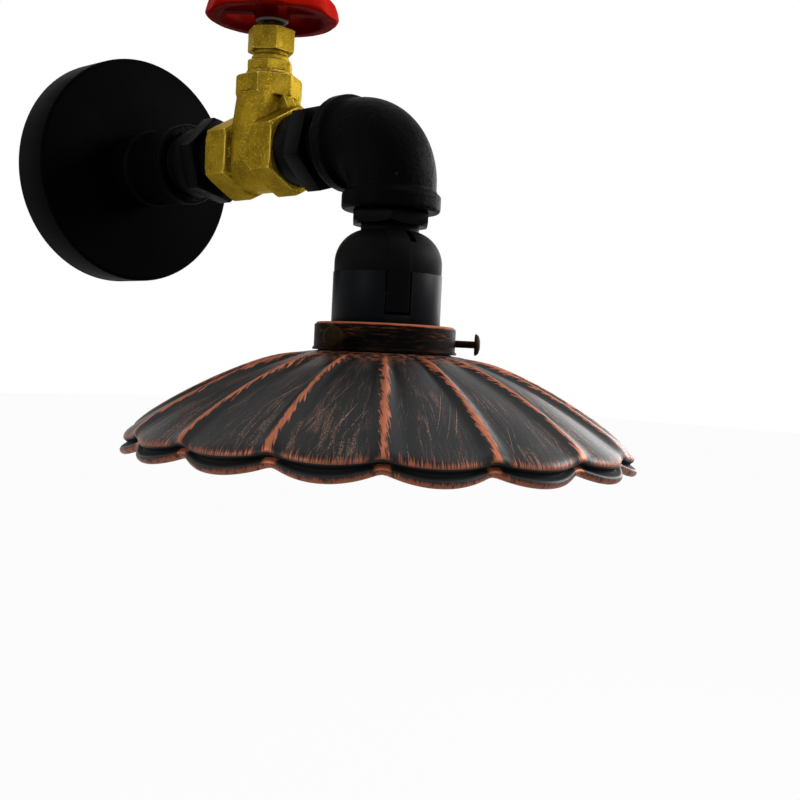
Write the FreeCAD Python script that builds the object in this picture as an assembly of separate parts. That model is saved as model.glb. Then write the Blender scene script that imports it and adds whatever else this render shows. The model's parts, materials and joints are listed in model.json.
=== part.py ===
"""Pipe wall lamp: a round wall plate, an arm of pipe fittings with a gate valve, and a fluted shade.

Millimetres. The wall is the plane y = 0, the arm runs along -Y and +Z is up.
The origin is the centre of the wall plate's back. Distances called "reach" are measured from the wall.
"""
import FreeCAD, Part
import math
import os

V = FreeCAD.Vector
os.makedirs("parts", exist_ok=True)

# Wall plate and the bracket behind it
canopy_diameter = 100.0
canopy_depth = 19.5
canopy_wall = 1.5
canopy_edge_radius = 1.6
bracket_width = 18.0
bracket_thickness = 2.0
bracket_tab_width = 14.0
bracket_tab_depth = 13.0
bracket_tab_gap = 1.0
bracket_tab_neck = 6.0
cable_hole_diameter = 13.0
wall_screw_spacing = 70.0
wall_slot_width = 4.6
wall_slot_length = 9.0
side_screw_diameter = 5.0
side_screw_length = 6.0
side_screw_reach = 7.0
side_screw_sink = 0.4
side_screw_slot = 1.0
side_screw_hole_clearance = 0.3

# Hollow stud that joins the plate to the arm, and its lock parts
stud_diameter = 10.0
stud_wall = 1.3
stud_tail = 5.5
stud_lead = 0.5
lamp_thread_pitch = 1.0
lamp_thread_depth = 0.5
lock_nut_wall = 2.0
lock_nut_height = 3.5
lock_washer_width = 6.0
lock_washer_thickness = 1.2
earth_tag_ring_width = 3.0
earth_tag_thickness = 0.8
earth_tag_length = 15.0
earth_tag_width = 6.0
small_chamfer = 0.6

# Terminal block, its clamps and screws
block_length = 28.0
block_height = 14.0
block_depth = 9.5
block_gap_above = 11.5
block_hole_clearance = 0.2
clamp_count = 3
clamp_pitch = 8.6
clamp_outer_diameter = 5.4
clamp_bore = 3.6
clamp_inset = 1.5
clamp_screw_diameter = 2.6
clamp_screw_length = 4.6
clamp_screw_spread = 7.0
clamp_screw_tip = 0.7
screw_well_clearance = 0.5
small_slot_width = 0.6
small_slot_depth = 0.7
block_screw_diameter = 3.0
block_screw_head = 5.4
block_screw_head_height = 1.6
block_screw_slot = 0.8
earth_screw_diameter = 4.0
earth_screw_head = 7.0
earth_screw_head_height = 2.2
earth_screw_slot = 1.0
earth_screw_height = 22.0
screw_tip_gap = 0.2

# Pipe thread shared by every fitting of the arm
pipe_thread_diameter = 26.4
pipe_thread_pitch = 1.81
pipe_thread_depth = 1.1
pipe_wall = 3.7
thread_clearance = 0.1
thread_engagement = 10.0
thread_relief = 0.5
edge_chamfer = 0.8

# Pipe socket on the wall plate
socket_length = 38.5
socket_wall = 2.9
socket_band_rise = 1.0
socket_foot_length = 11.0
socket_bead_half_width = 1.0
socket_mouth_length = 7.0
socket_mouth_slope = 1.2
socket_plug_length = 9.0
socket_plug_slot_width = 3.0
socket_plug_slot_depth = 1.5

# Hexagon nipples and their round lock rings
nipple_hex_rise = 2.3
nipple_hex_width = 8.5
nipple_hex_chamfer = 1.4
wall_nipple_turn = 47.0
lamp_nipple_turn = 18.0
lock_ring_wall = 1.3
lock_ring_length = 9.0
socket_side_thread_gap = 4.5
valve_side_thread_gap = 7.5
elbow_side_thread_gap = 7.0

# Gate valve body and bonnet
valve_length = 41.0
valve_wall = 4.0
valve_hex_rise = 2.3
valve_hex_width = 13.0
valve_hex_chamfer = 1.8
valve_body_length = 19.0
valve_body_taper = 2.7
valve_neck_lift = 6.7
valve_neck_height = 8.6
valve_neck_wall = 3.3
valve_neck_chamfer = 1.0
valve_chamber_diameter = 17.0
valve_rib_width = 5.0
valve_rib_inset = 3.0
bonnet_flange_rise = 1.0
bonnet_flange_height = 1.0
bonnet_hex_flats = 17.2
bonnet_hex_height = 5.3
bonnet_hex_turn = 45.0
bonnet_shoulder_inset = 1.0
bonnet_shoulder_height = 2.6
bonnet_spigot_length = 7.0
bonnet_gasket_thickness = 0.8
bonnet_gasket_gap = 0.3

# Valve stem, its packing and the gland nut
stem_diameter = 6.4
stem_collar_rise = 2.3
stem_collar_height = 2.4
stem_collar_lift = 1.5
stem_collar_clearance = 0.3
stem_collar_float = 0.25
stem_tail_length = 2.6
stem_flat_depth = 0.7
stem_square_sink = 0.3
stem_stud_diameter = 4.0
stem_tip_length = 1.2
shaft_clearance = 0.05
packing_thickness = 1.8
packing_height = 4.0
follower_entry = 1.0
follower_height = 2.3
gland_wall = 2.0
gland_nut_wall = 1.5
gland_nut_height = 9.2
gland_nut_gap = 1.3
gland_nut_cap = 1.8
gland_nut_turn = 63.0
gland_nut_hole_clearance = 0.3

# Handwheel, its nut and washer
wheel_lift = 3.0
wheel_diameter = 55.0
wheel_lobes = 8
wheel_lobe_depth = 1.5
wheel_rim_width = 6.5
wheel_rim_height = 8.0
wheel_rim_edge = 1.6
wheel_rim_crown = 2.0
wheel_rim_taper = 2.0
wheel_spokes = 4
wheel_spoke_width = 7.0
wheel_spoke_thickness = 3.2
wheel_spoke_edge = 1.2
wheel_spoke_root = 2.0
wheel_hub_wall = 4.5
wheel_hub_height = 8.0
wheel_hub_drop = 1.0
wheel_hub_edge = 1.0
wheel_nut_wall = 1.5
wheel_nut_height = 3.2
wheel_nut_turn = 20.0
wheel_washer_width = 3.0
wheel_washer_thickness = 1.0
wheel_washer_clearance = 0.15

# Elbow and the bushing below it
elbow_wall = 3.1
elbow_band_rise = 1.8
elbow_band_width = 7.5
elbow_band_slope = 1.5
elbow_throat = 0.6
elbow_straight = 10.0
bushing_hex_rise = 0.3
bushing_hex_height = 5.2
bushing_hex_chamfer = 2.0
bushing_turn = 45.0
lamp_tube_diameter = 10.0
lamp_tube_wall = 1.3

# Lampholder's casing
shell_inner_diameter = 27.2
shell_wall = 0.5
shell_length = 18.0
shell_thread_pitch = 3.6
shell_thread_depth = 0.9
shell_side_gap = 0.2
holder_side_wall = 6.1
holder_wall = 1.8
holder_neck_wall = 5.6
holder_neck_height = 1.5
holder_dome_radius = 12.5
holder_dome_height = 16.0
holder_spigot_length = 7.0
holder_boss_wall = 2.4
holder_boss_depth = 8.0
skirt_length = 32.5
skirt_step = 0.25
skirt_seam = 0.05
skirt_thread_step = 0.8
skirt_groove_wall = 1.2
skirt_groove_roof = 2.5
tongue_width = 8.4
tongue_length = 14.4
tongue_side_gap = 0.5
tongue_end_gap = 1.0
tongue_rebate = 1.2
tongue_strip_rise = 0.4
tongue_azimuth = 236.0
grub_diameter = 3.0
grub_length = 3.6
grub_drop = 3.6
grub_notch_width = 2.8
grub_notch_start = 1.0
grub_notch_drop = 1.6
grub_azimuth = 254.0

# Lampholder's core and contacts
insert_drop = 2.0
insert_height = 12.0
insert_clearance = 0.25
insert_bore = 8.0
insert_bore_depth = 5.0
post_width = 5.0
post_depth = 4.0
post_height = 7.0
post_floor = 1.5
post_offset = 10.5
post_sink = 0.3
post_screw_diameter = 2.6
post_screw_length = 4.0
post_screw_drop = 3.5
leaf_length = 13.0
leaf_overhang = 4.5
leaf_tip_length = 4.0
leaf_width = 5.0
leaf_thickness = 0.6
leaf_drop = 1.6
leaf_play = 0.3
leaf_pin_diameter = 1.6
leaf_ear_height = 3.2
leaf_ear_thickness = 1.6
leaf_ear_gap = 0.4
shell_top_gap = 1.5

# Gallery, its clamp ring and thumbscrews
gallery_drop = 18.5
gallery_height = 10.0
gallery_wall = 0.8
gallery_edge = 1.0
gallery_hem = 0.5
gallery_hem_height = 1.2
gallery_hole_clearance = 0.15
clamp_ring_wall = 2.5
clamp_ring_height = 4.0
clamp_ring_gap = 0.45
clamp_ring_grips = 12
clamp_grip_diameter = 2.4
thumbscrew_diameter = 2.6
thumbscrew_head_diameter = 8.0
thumbscrew_head_height = 2.0
thumbscrew_shank_length = 9.0
thumbscrew_edge = 0.3
thumbscrew_first_azimuth = 192.0
thumbscrew_count = 3
thumbscrew_drop = 5.8
thumbscrew_tip_gap = 0.3

# Shade
shade_wall = 1.4
shade_skin_shift = 0.4
shade_neck_gap = 1.5
shade_lip_rise = 0.7
shade_lip_height = 0.8
shade_lip_drop = 2.1
shade_shoulder_gap = 0.5
shade_crown_rise = 1.1
shade_hem_radius = 91.55
shade_skin_drop = 31.6
shade_hem_drop = 38.1
shade_belly = 4.0
shade_bead_diameter = 3.4
shade_flutes = 16
shade_notch_depth = 5.5
shade_notch_rise = 3.6
shade_ridge_width = 1.6
shade_ridge_height = 0.9
shade_ridge_start = 4.0

# Wiring inside the arm
wire_diameter = 2.2
wire_spread = 2.6
wire_hole_clearance = 0.1
wire_clamp_depth = 1.8
wire_post_depth = 5.0

# Diameters and widths across flats that follow from the sizes above
stud_hole = stud_diameter + 2 * thread_clearance
stud_bore = stud_diameter - 2 * stud_wall
pipe_thread_bore = pipe_thread_diameter + 2 * thread_clearance
pipe_bore = pipe_thread_diameter - 2 * pipe_wall
nipple_hex_flats = pipe_thread_diameter + 2 * nipple_hex_rise
lock_ring_diameter = pipe_thread_bore + 2 * lock_ring_wall
valve_hex_flats = pipe_thread_diameter + 2 * valve_hex_rise
valve_neck_flats = valve_chamber_diameter + 2 * valve_neck_wall
bonnet_flange_diameter = valve_chamber_diameter + 2 * bonnet_flange_rise
bonnet_neck_diameter = stem_diameter + 2 * (packing_thickness + gland_wall)
gland_bore = bonnet_neck_diameter - 2 * gland_wall
gland_nut_flats = bonnet_neck_diameter + 2 * gland_nut_wall
stem_hole = stem_diameter + 2 * shaft_clearance
stem_collar_diameter = stem_diameter + 2 * stem_collar_rise
stem_square = stem_diameter - 2 * stem_flat_depth
wheel_hub_diameter = stem_square + 2 * wheel_hub_wall
wheel_nut_flats = stem_stud_diameter + 2 * wheel_nut_wall
wheel_washer_diameter = stem_stud_diameter + 2 * wheel_washer_width
elbow_body_diameter = pipe_thread_bore + 2 * elbow_wall
elbow_bend_radius = elbow_body_diameter / 2 + elbow_throat
elbow_reach_to_face = elbow_bend_radius + elbow_straight
bushing_hex_flats = pipe_thread_diameter + 2 * bushing_hex_rise
lamp_tube_hole = lamp_tube_diameter + 2 * thread_clearance
holder_neck_diameter = lamp_tube_hole + 2 * holder_neck_wall
holder_boss_diameter = lamp_tube_hole + 2 * holder_boss_wall
holder_diameter = shell_inner_diameter + 2 * holder_side_wall
skirt_diameter = holder_diameter + 2 * skirt_step
skirt_inner_diameter = skirt_diameter - 2 * holder_wall
skirt_thread_diameter = skirt_diameter - 2 * skirt_thread_step
cap_spigot_diameter = skirt_inner_diameter - 2 * thread_clearance
insert_diameter = cap_spigot_diameter - 2 * (holder_wall + insert_clearance)
shell_outer_diameter = shell_inner_diameter + 2 * shell_wall
clamp_ring_bore = skirt_thread_diameter + 2 * thread_clearance
clamp_ring_diameter = clamp_ring_bore + 2 * clamp_ring_wall
shade_neck_diameter = clamp_ring_diameter + 2 * (clamp_ring_gap + shade_wall)
gallery_diameter = shade_neck_diameter + 2 * (shade_neck_gap + gallery_wall)
shade_crown_radius = gallery_diameter / 2 + shade_crown_rise
shade_notch_radius = shade_hem_radius - shade_notch_depth

# Places behind the plate, measured from the wall
washer_reach = canopy_depth - canopy_wall - lock_washer_thickness
earth_tag_reach = washer_reach - earth_tag_thickness
lock_nut_reach = earth_tag_reach - lock_nut_height
stud_start_reach = lock_nut_reach - stud_tail
stud_end_reach = canopy_depth + socket_plug_length + stud_lead
clamp_reach = bracket_thickness + block_depth / 2
block_front_reach = bracket_thickness + block_depth
block_height_centre = -block_gap_above - block_height / 2

# Places along the arm
socket_end_reach = canopy_depth + socket_length
wall_ring_reach = socket_end_reach + socket_side_thread_gap
wall_hex_reach = wall_ring_reach + lock_ring_length
valve_start_reach = wall_hex_reach + nipple_hex_width + valve_side_thread_gap
valve_reach = valve_start_reach + valve_length / 2
valve_end_reach = valve_start_reach + valve_length
lamp_ring_reach = valve_end_reach
lamp_hex_reach = lamp_ring_reach + lock_ring_length
elbow_face_reach = lamp_hex_reach + nipple_hex_width + elbow_side_thread_gap
lamp_reach = elbow_face_reach + elbow_reach_to_face

# Heights on the valve's stem, worked out upward
valve_neck_bottom = valve_hex_flats / 2 + valve_neck_lift
valve_neck_top = valve_neck_bottom + valve_neck_height
bonnet_bottom = valve_neck_top + bonnet_gasket_thickness
bonnet_hex_top = bonnet_bottom + bonnet_hex_height
bonnet_shoulder_top = bonnet_hex_top + bonnet_shoulder_height
stem_collar_bottom = bonnet_bottom - bonnet_spigot_length + stem_collar_lift
gland_nut_bottom = bonnet_shoulder_top + gland_nut_gap
gland_nut_top = gland_nut_bottom + gland_nut_height
follower_top = gland_nut_top - gland_nut_cap
follower_bottom = follower_top - follower_height
bonnet_top = follower_bottom + follower_entry
wheel_hub_bottom = gland_nut_top + wheel_lift
wheel_hub_top = wheel_hub_bottom + wheel_hub_height
wheel_rim_bottom = wheel_hub_bottom + wheel_hub_drop
wheel_rim_top = wheel_rim_bottom + wheel_rim_height
wheel_washer_top = wheel_hub_top + wheel_washer_thickness
wheel_nut_top = wheel_washer_top + wheel_nut_height

# Heights on the lamp axis, worked out downward from the elbow
bushing_top = -elbow_reach_to_face
bushing_thread_top = bushing_top + thread_engagement
bushing_bottom = bushing_top - bushing_hex_height
dome_top = bushing_bottom - holder_neck_height
boss_bottom = dome_top - holder_boss_depth
seam_height = dome_top - holder_dome_height
skirt_bottom = seam_height - skirt_length
insert_top = seam_height - insert_drop
insert_bottom = insert_top - insert_height
leaf_offset = leaf_length - leaf_overhang
leaf_height = insert_bottom - leaf_ear_height / 2 - leaf_ear_gap
gallery_top = seam_height - gallery_drop
gallery_bottom = gallery_top - gallery_height
thumbscrew_height = gallery_top - thumbscrew_drop
shade_crown_height = gallery_bottom - shade_shoulder_gap
shade_hem_height = shade_crown_height - shade_hem_drop


def save(name, shape):
    shape.exportStep("parts/" + name + ".step")


def cylinder(diameter, bottom, top):
    return Part.makeCylinder(diameter / 2, top - bottom, V(0, 0, bottom))


def ring(outer, inner, bottom, top):
    return cylinder(outer, bottom, top).cut(cylinder(inner, bottom - 1, top + 1))


def box(low, high):
    return Part.makeBox(high[0] - low[0], high[1] - low[1], high[2] - low[2], V(*low))


def cross_rod(diameter, length, offset, height):
    """Round rod along Y, centred on the lamp axis's plane, at an offset along X and a height."""
    return Part.makeCylinder(diameter / 2, length, V(offset, -length / 2, height), V(0, 1, 0))


def revolved(points):
    """Solid of revolution about Z from (radius, height) points."""
    outline = [V(radius, 0, height) for radius, height in points]
    face = Part.Face(Part.makePolygon(outline + outline[:1]))
    return face.revolve(V(0, 0, 0), V(0, 0, 1), 360)


def hexagon(flats, bottom, top, vertex_angle=0.0, chamfer=small_chamfer):
    """Hexagon bar about Z with turned ends, one vertex at vertex_angle degrees."""
    corner = flats / 2 / math.cos(math.pi / 6)
    turns = [math.radians(vertex_angle + 60 * step) for step in range(6)]
    points = [V(corner * math.cos(turn), corner * math.sin(turn), bottom) for turn in turns]
    bar = Part.Face(Part.makePolygon(points + points[:1])).extrude(V(0, 0, top - bottom))
    rise = chamfer * math.tan(math.radians(30))
    ends = revolved([(0, bottom), (corner - chamfer, bottom), (corner, bottom + rise),
                     (corner, top - rise), (corner - chamfer, top), (0, top)])
    return bar.common(ends)


def threaded_bar(diameter, pitch, depth, bottom, top):
    """Round bar about Z with ring grooves in place of the thread's helix."""
    turns = max(1, round((top - bottom) / pitch))
    step = (top - bottom) / turns
    crest_half = 0.12 * step
    root = diameter / 2 - depth
    points = [(0, bottom), (root, bottom)]
    for turn in range(turns):
        crest = bottom + (turn + 0.5) * step
        points.append((diameter / 2, crest - crest_half))
        points.append((diameter / 2, crest + crest_half))
        points.append((root, bottom + (turn + 1) * step))
    points.append((0, top))
    return revolved(points)


def pipe_thread(bottom, top):
    return threaded_bar(pipe_thread_diameter, pipe_thread_pitch, pipe_thread_depth, bottom, top)


def on_arm(shape, reach=0.0, height=0.0, side=0.0):
    """Lay a piece built along +Z onto the arm, so that it runs away from the wall."""
    placed = shape.copy()
    placed.rotate(V(0, 0, 0), V(1, 0, 0), 90)
    placed.translate(V(side, -reach, height))
    return placed


def on_stem(shape):
    placed = shape.copy()
    placed.translate(V(0, -valve_reach, 0))
    return placed


def turned(shape, azimuth):
    placed = shape.copy()
    placed.rotate(V(0, 0, 0), V(0, 0, 1), azimuth)
    return placed


def on_lamp(shape, azimuth=0.0):
    placed = turned(shape, azimuth)
    placed.translate(V(0, -lamp_reach, 0))
    return placed


def outward(shape, radius, height):
    """Turn a piece built along +Z so that it points along +X, starting at the given radius."""
    placed = shape.copy()
    placed.rotate(V(0, 0, 0), V(0, 1, 0), 90)
    placed.translate(V(radius, 0, height))
    return placed


def slotted(shape, width, depth, top):
    """Cut a screwdriver slot across the top of a screw built along +Z."""
    reach = shape.BoundBox.XLength
    return shape.cut(box((-reach, -width / 2, top - depth), (reach, width / 2, top + 1)))


def wire(points, diameter):
    """Round wire along straight runs joined by tangent arcs."""
    edges = []
    start = V(*points[0])
    for before, corner, after in zip(points, points[1:], points[2:]):
        corner = V(*corner)
        back = V(*before) - corner
        ahead = V(*after) - corner
        half = back.getAngle(ahead) / 2
        trim = 0.45 * min(back.Length, ahead.Length)
        radius = trim * math.tan(half)
        back.normalize()
        ahead.normalize()
        enter = corner + back * trim
        leave = corner + ahead * trim
        bisector = back + ahead
        bisector.normalize()
        middle = corner + bisector * (radius / math.sin(half) - radius)
        edges.append(Part.LineSegment(start, enter).toShape())
        edges.append(Part.Arc(enter, middle, leave).toShape())
        start = leave
    edges.append(Part.LineSegment(start, V(*points[-1])).toShape())
    heading = V(*points[1]) - V(*points[0])
    profile = Part.Wire([Part.makeCircle(diameter / 2, V(*points[0]), heading)])
    return Part.Wire(edges).makePipeShell([profile], True, False)


def canopy_cup():
    """Pressed steel cup: flat face, small front edge radius, open back that stands on the wall."""
    radius = canopy_diameter / 2
    cup = on_arm(cylinder(canopy_diameter, 0, canopy_depth))
    front = [edge for edge in cup.Edges if abs(edge.BoundBox.YMax + canopy_depth) < 0.01]
    cup = cup.makeFillet(canopy_edge_radius, front)
    hollow = on_arm(cylinder(canopy_diameter - 2 * canopy_wall, -1, canopy_depth - canopy_wall))
    stud_way = on_arm(cylinder(stud_hole, 0, canopy_depth + 1))
    screw_way = cylinder(side_screw_diameter + 2 * side_screw_hole_clearance, -radius - 1, radius + 1)
    screw_way.translate(V(0, -side_screw_reach, 0))
    return cup.cut(hollow).cut(stud_way).cut(screw_way)


def wall_bracket():
    """Flat strap screwed to the wall, with a bent tab at each end for the plate's side screws."""
    inner = canopy_diameter / 2 - canopy_wall
    half = math.sqrt(inner ** 2 - (bracket_tab_width / 2) ** 2) - bracket_tab_gap
    wide = bracket_width / 2
    tab = bracket_tab_width / 2
    shoulder = half - bracket_tab_neck
    strap = box((-wide, -bracket_thickness, -shoulder), (wide, 0, shoulder))
    strap = strap.fuse(box((-tab, -bracket_thickness, -half), (tab, 0, half)))
    for side in (-1, 1):
        low, high = sorted((side * half, side * (half - bracket_thickness)))
        strap = strap.fuse(box((-tab, -bracket_tab_depth, low), (tab, 0, high)))
    strap = strap.cut(strap_hole(cable_hole_diameter, 0, 0))
    straight = (wall_slot_length - wall_slot_width) / 2
    for side in (-1, 1):
        middle = side * wall_screw_spacing / 2
        slot = box((-wall_slot_width / 2, -bracket_thickness - 1, middle - straight),
                   (wall_slot_width / 2, 1, middle + straight))
        for end in (-straight, straight):
            slot = slot.fuse(strap_hole(wall_slot_width, 0, middle + end))
        strap = strap.cut(slot)
    tapped = cylinder(side_screw_diameter + 2 * thread_clearance, -half - 1, half + 1)
    tapped.translate(V(0, -side_screw_reach, 0))
    strap = strap.cut(tapped)
    strap = strap.cut(strap_hole(earth_screw_diameter + 2 * thread_clearance, 0, earth_screw_height))
    block_hole = strap_hole(block_screw_diameter + 2 * thread_clearance, clamp_pitch / 2, block_height_centre)
    return strap.cut(block_hole).removeSplitter()


def strap_hole(diameter, side, height):
    return on_arm(cylinder(diameter, -1, bracket_thickness + 1), 0, height, side)


def canopy_side_screws():
    """Two slotted grub screws through the plate's rim into the bracket's tabs."""
    top = canopy_diameter / 2 - side_screw_sink
    screw = cylinder(side_screw_diameter, top - side_screw_length, top)
    upper = slotted(screw, side_screw_slot, side_screw_slot, top)
    lower = upper.copy()
    lower.rotate(V(0, 0, 0), V(1, 0, 0), 180)
    pair = Part.makeCompound([upper, lower])
    pair.translate(V(0, -side_screw_reach, 0))
    return pair


def canopy_stud():
    stud = threaded_bar(stud_diameter, lamp_thread_pitch, lamp_thread_depth, stud_start_reach, stud_end_reach)
    return on_arm(stud.cut(cylinder(stud_bore, stud_start_reach - 1, stud_end_reach + 1)))


def canopy_lock_washer():
    outer = stud_hole + 2 * lock_washer_width
    return on_arm(ring(outer, stud_hole, washer_reach, washer_reach + lock_washer_thickness))


def earth_tag():
    """Ring tag clamped between the washer and the nut, with a tail for the earth wire."""
    half = earth_tag_width / 2
    tag = cylinder(stud_hole + 2 * earth_tag_ring_width, earth_tag_reach, washer_reach)
    tag = tag.fuse(box((0, -half, earth_tag_reach), (earth_tag_length, half, washer_reach)))
    return on_arm(tag.cut(cylinder(stud_hole, earth_tag_reach - 1, washer_reach + 1)))


def canopy_lock_nut():
    nut = hexagon(stud_diameter + 2 * lock_nut_wall, lock_nut_reach, earth_tag_reach)
    return on_arm(nut.cut(cylinder(stud_hole, lock_nut_reach - 1, earth_tag_reach + 1)))


def clamp_places():
    return [(step - (clamp_count - 1) / 2) * clamp_pitch for step in range(clamp_count)]


def clamp_screw_heights():
    return [block_height_centre + side * clamp_screw_spread / 2 for side in (-1, 1)]


def terminal_block():
    """Moulded three-pole block: a bore for each clamp, two screw wells a pole and one fixing hole."""
    low = block_height_centre - block_height / 2
    high = block_height_centre + block_height / 2
    body = box((-block_length / 2, -block_front_reach, low), (block_length / 2, -bracket_thickness, high))
    well = cylinder(clamp_screw_diameter + 2 * screw_well_clearance, clamp_reach, block_front_reach + 1)
    for place in clamp_places():
        bore = cylinder(clamp_outer_diameter + 2 * thread_clearance, low - 1, high + 1)
        bore.translate(V(place, -clamp_reach, 0))
        body = body.cut(bore)
        for height in clamp_screw_heights():
            body = body.cut(on_arm(well, 0, height, place))
    fixing = cylinder(block_screw_diameter + 2 * block_hole_clearance, 0, block_front_reach + 1)
    return body.cut(on_arm(fixing, 0, block_height_centre, clamp_pitch / 2))


def terminal_clamps():
    """Brass tubes in the block, each tapped twice for its screws."""
    half = block_height / 2 - clamp_inset
    tap = clamp_screw_diameter + thread_clearance
    tapped = cylinder(tap, clamp_reach, clamp_reach + clamp_outer_diameter)
    tubes = []
    for place in clamp_places():
        tube = ring(clamp_outer_diameter, clamp_bore, block_height_centre - half, block_height_centre + half)
        tube.translate(V(place, -clamp_reach, 0))
        for height in clamp_screw_heights():
            tube = tube.cut(on_arm(tapped, 0, height, place))
        tubes.append(tube)
    return Part.makeCompound(tubes)


def terminal_clamp_screws():
    tip = clamp_reach + clamp_screw_tip
    top = tip + clamp_screw_length
    screw = slotted(cylinder(clamp_screw_diameter, tip, top), small_slot_width, small_slot_depth, top)
    screws = []
    for place in clamp_places():
        for height in clamp_screw_heights():
            screws.append(on_arm(screw, 0, height, place))
    return Part.makeCompound(screws)


def cheese_head_screw(diameter, head, start, seat, top, slot):
    """Slotted screw along +Z with its head between the seat and the top."""
    screw = cylinder(diameter, start, seat).fuse(cylinder(head, seat, top))
    return slotted(screw, slot, slot, top)


def terminal_block_screw():
    """Screw through the block into the bracket's tapped hole."""
    top = block_front_reach + block_screw_head_height
    screw = cheese_head_screw(block_screw_diameter, block_screw_head, screw_tip_gap, block_front_reach, top,
                              block_screw_slot)
    return on_arm(screw, 0, block_height_centre, clamp_pitch / 2)


def bracket_earth_screw():
    top = bracket_thickness + earth_screw_head_height
    screw = cheese_head_screw(earth_screw_diameter, earth_screw_head, screw_tip_gap, bracket_thickness, top,
                              earth_screw_slot)
    return on_arm(screw, 0, earth_screw_height)


def pipe_socket():
    """Straight socket with a bead past its foot and a band at its mouth, bored for the thread."""
    body = pipe_thread_bore / 2 + socket_wall
    band = body + socket_band_rise
    bead_low = socket_foot_length - socket_bead_half_width
    bead_high = socket_foot_length + socket_bead_half_width
    mouth = socket_length - socket_mouth_length
    outline = [(0, 0), (body, 0), (body, bead_low - edge_chamfer), (band, bead_low), (band, bead_high),
               (body, bead_high + edge_chamfer), (body, mouth), (band, mouth + socket_mouth_slope),
               (band, socket_length - edge_chamfer), (band - edge_chamfer, socket_length), (0, socket_length)]
    bore = cylinder(pipe_thread_bore, -1, socket_length + 1)
    return on_arm(revolved(outline).cut(bore), canopy_depth)


def socket_plug():
    """Threaded plug that brings the socket's bore down to the hollow stud."""
    plug = pipe_thread(0, socket_plug_length).cut(cylinder(stud_hole, -1, socket_plug_length + 1))
    plug = slotted(plug, socket_plug_slot_width, socket_plug_slot_depth, socket_plug_length)
    return on_arm(plug, canopy_depth)


def nipple(start, hex_start, end, turn):
    """Hexagon nipple: pipe thread at both ends and a hexagon between them."""
    hex_end = hex_start + nipple_hex_width
    body = pipe_thread(start, hex_start).fuse(pipe_thread(hex_end, end))
    body = body.fuse(hexagon(nipple_hex_flats, hex_start, hex_end, turn, nipple_hex_chamfer))
    return on_arm(body.cut(cylinder(pipe_bore, start - 1, end + 1)))


def wall_nipple():
    start = socket_end_reach - thread_engagement
    return nipple(start, wall_hex_reach, valve_start_reach + thread_engagement, wall_nipple_turn)


def lamp_nipple():
    start = valve_end_reach - thread_engagement
    return nipple(start, lamp_hex_reach, elbow_face_reach + thread_engagement, lamp_nipple_turn)


def lock_ring(start):
    """Round ring run up the nipple's thread to lock it where the fittings line up."""
    radius = lock_ring_diameter / 2
    outline = [(0, 0), (radius - edge_chamfer, 0), (radius, edge_chamfer),
               (radius, lock_ring_length - edge_chamfer), (radius - edge_chamfer, lock_ring_length),
               (0, lock_ring_length)]
    bore = cylinder(pipe_thread_bore, -1, lock_ring_length + 1)
    return on_arm(revolved(outline).cut(bore), start)


def valve_body():
    """Cast brass body: two hexagon ends, a flat oval gate chamber and a hexagon neck for the bonnet."""
    half = valve_length / 2
    far_hex = valve_length - valve_hex_width
    body = hexagon(valve_hex_flats, 0, valve_hex_width, 90, valve_hex_chamfer)
    body = body.fuse(hexagon(valve_hex_flats, far_hex, valve_length, 90, valve_hex_chamfer))
    body = on_arm(body.fuse(cylinder(pipe_bore + 2 * valve_wall, 1, valve_length - 1)), valve_start_reach)
    body = body.fuse(on_stem(gate_chamber()))
    rib_reach = half - valve_rib_inset
    neck_root = valve_neck_bottom + 1
    rib = box((-valve_rib_width / 2, -rib_reach, 0), (valve_rib_width / 2, rib_reach, neck_root))
    slope = revolved([(0, 0), (rib_reach, valve_hex_flats / 2 - valve_hex_chamfer),
                      (valve_neck_flats / 2, neck_root), (0, neck_root)])
    body = body.fuse(on_stem(rib.common(slope)))
    neck = hexagon(valve_neck_flats, valve_neck_bottom, valve_neck_top, 90, valve_neck_chamfer)
    body = body.fuse(on_stem(neck))
    thread_depth = thread_engagement + thread_relief
    bores = cylinder(pipe_bore, -1, valve_length + 1)
    bores = bores.fuse(cylinder(pipe_thread_bore, -1, thread_depth))
    bores = bores.fuse(cylinder(pipe_thread_bore, valve_length - thread_depth, valve_length + 1))
    body = body.cut(on_arm(bores, valve_start_reach))
    return body.cut(on_stem(cylinder(valve_chamber_diameter, 0, valve_neck_top + 1))).removeSplitter()


def gate_chamber():
    """Flat oval chamber about the stem, round below and narrowing towards the neck."""
    wide = valve_hex_flats / 2
    deep = valve_body_length / 2
    top = valve_neck_bottom + 1
    round_part = Part.makeCylinder(wide, 2 * deep, V(0, -deep, 0), V(0, 1, 0))
    round_part = round_part.fuse(box((-wide, -deep, 0), (wide, deep, top)))
    oval = box((deep - wide, -deep, -wide), (wide - deep, deep, top))
    for side in (-1, 1):
        end = cylinder(valve_body_length, -wide, top)
        end.translate(V(side * (wide - deep), 0, 0))
        oval = oval.fuse(end)
    taper = revolved([(0, -wide), (wide, -wide), (wide, 0), (wide - valve_body_taper, top), (0, top)])
    return round_part.common(oval).common(taper)


def bonnet_gasket():
    inner = valve_chamber_diameter + 2 * bonnet_gasket_gap
    return on_stem(ring(bonnet_flange_diameter, inner, valve_neck_top, bonnet_bottom))


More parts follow.
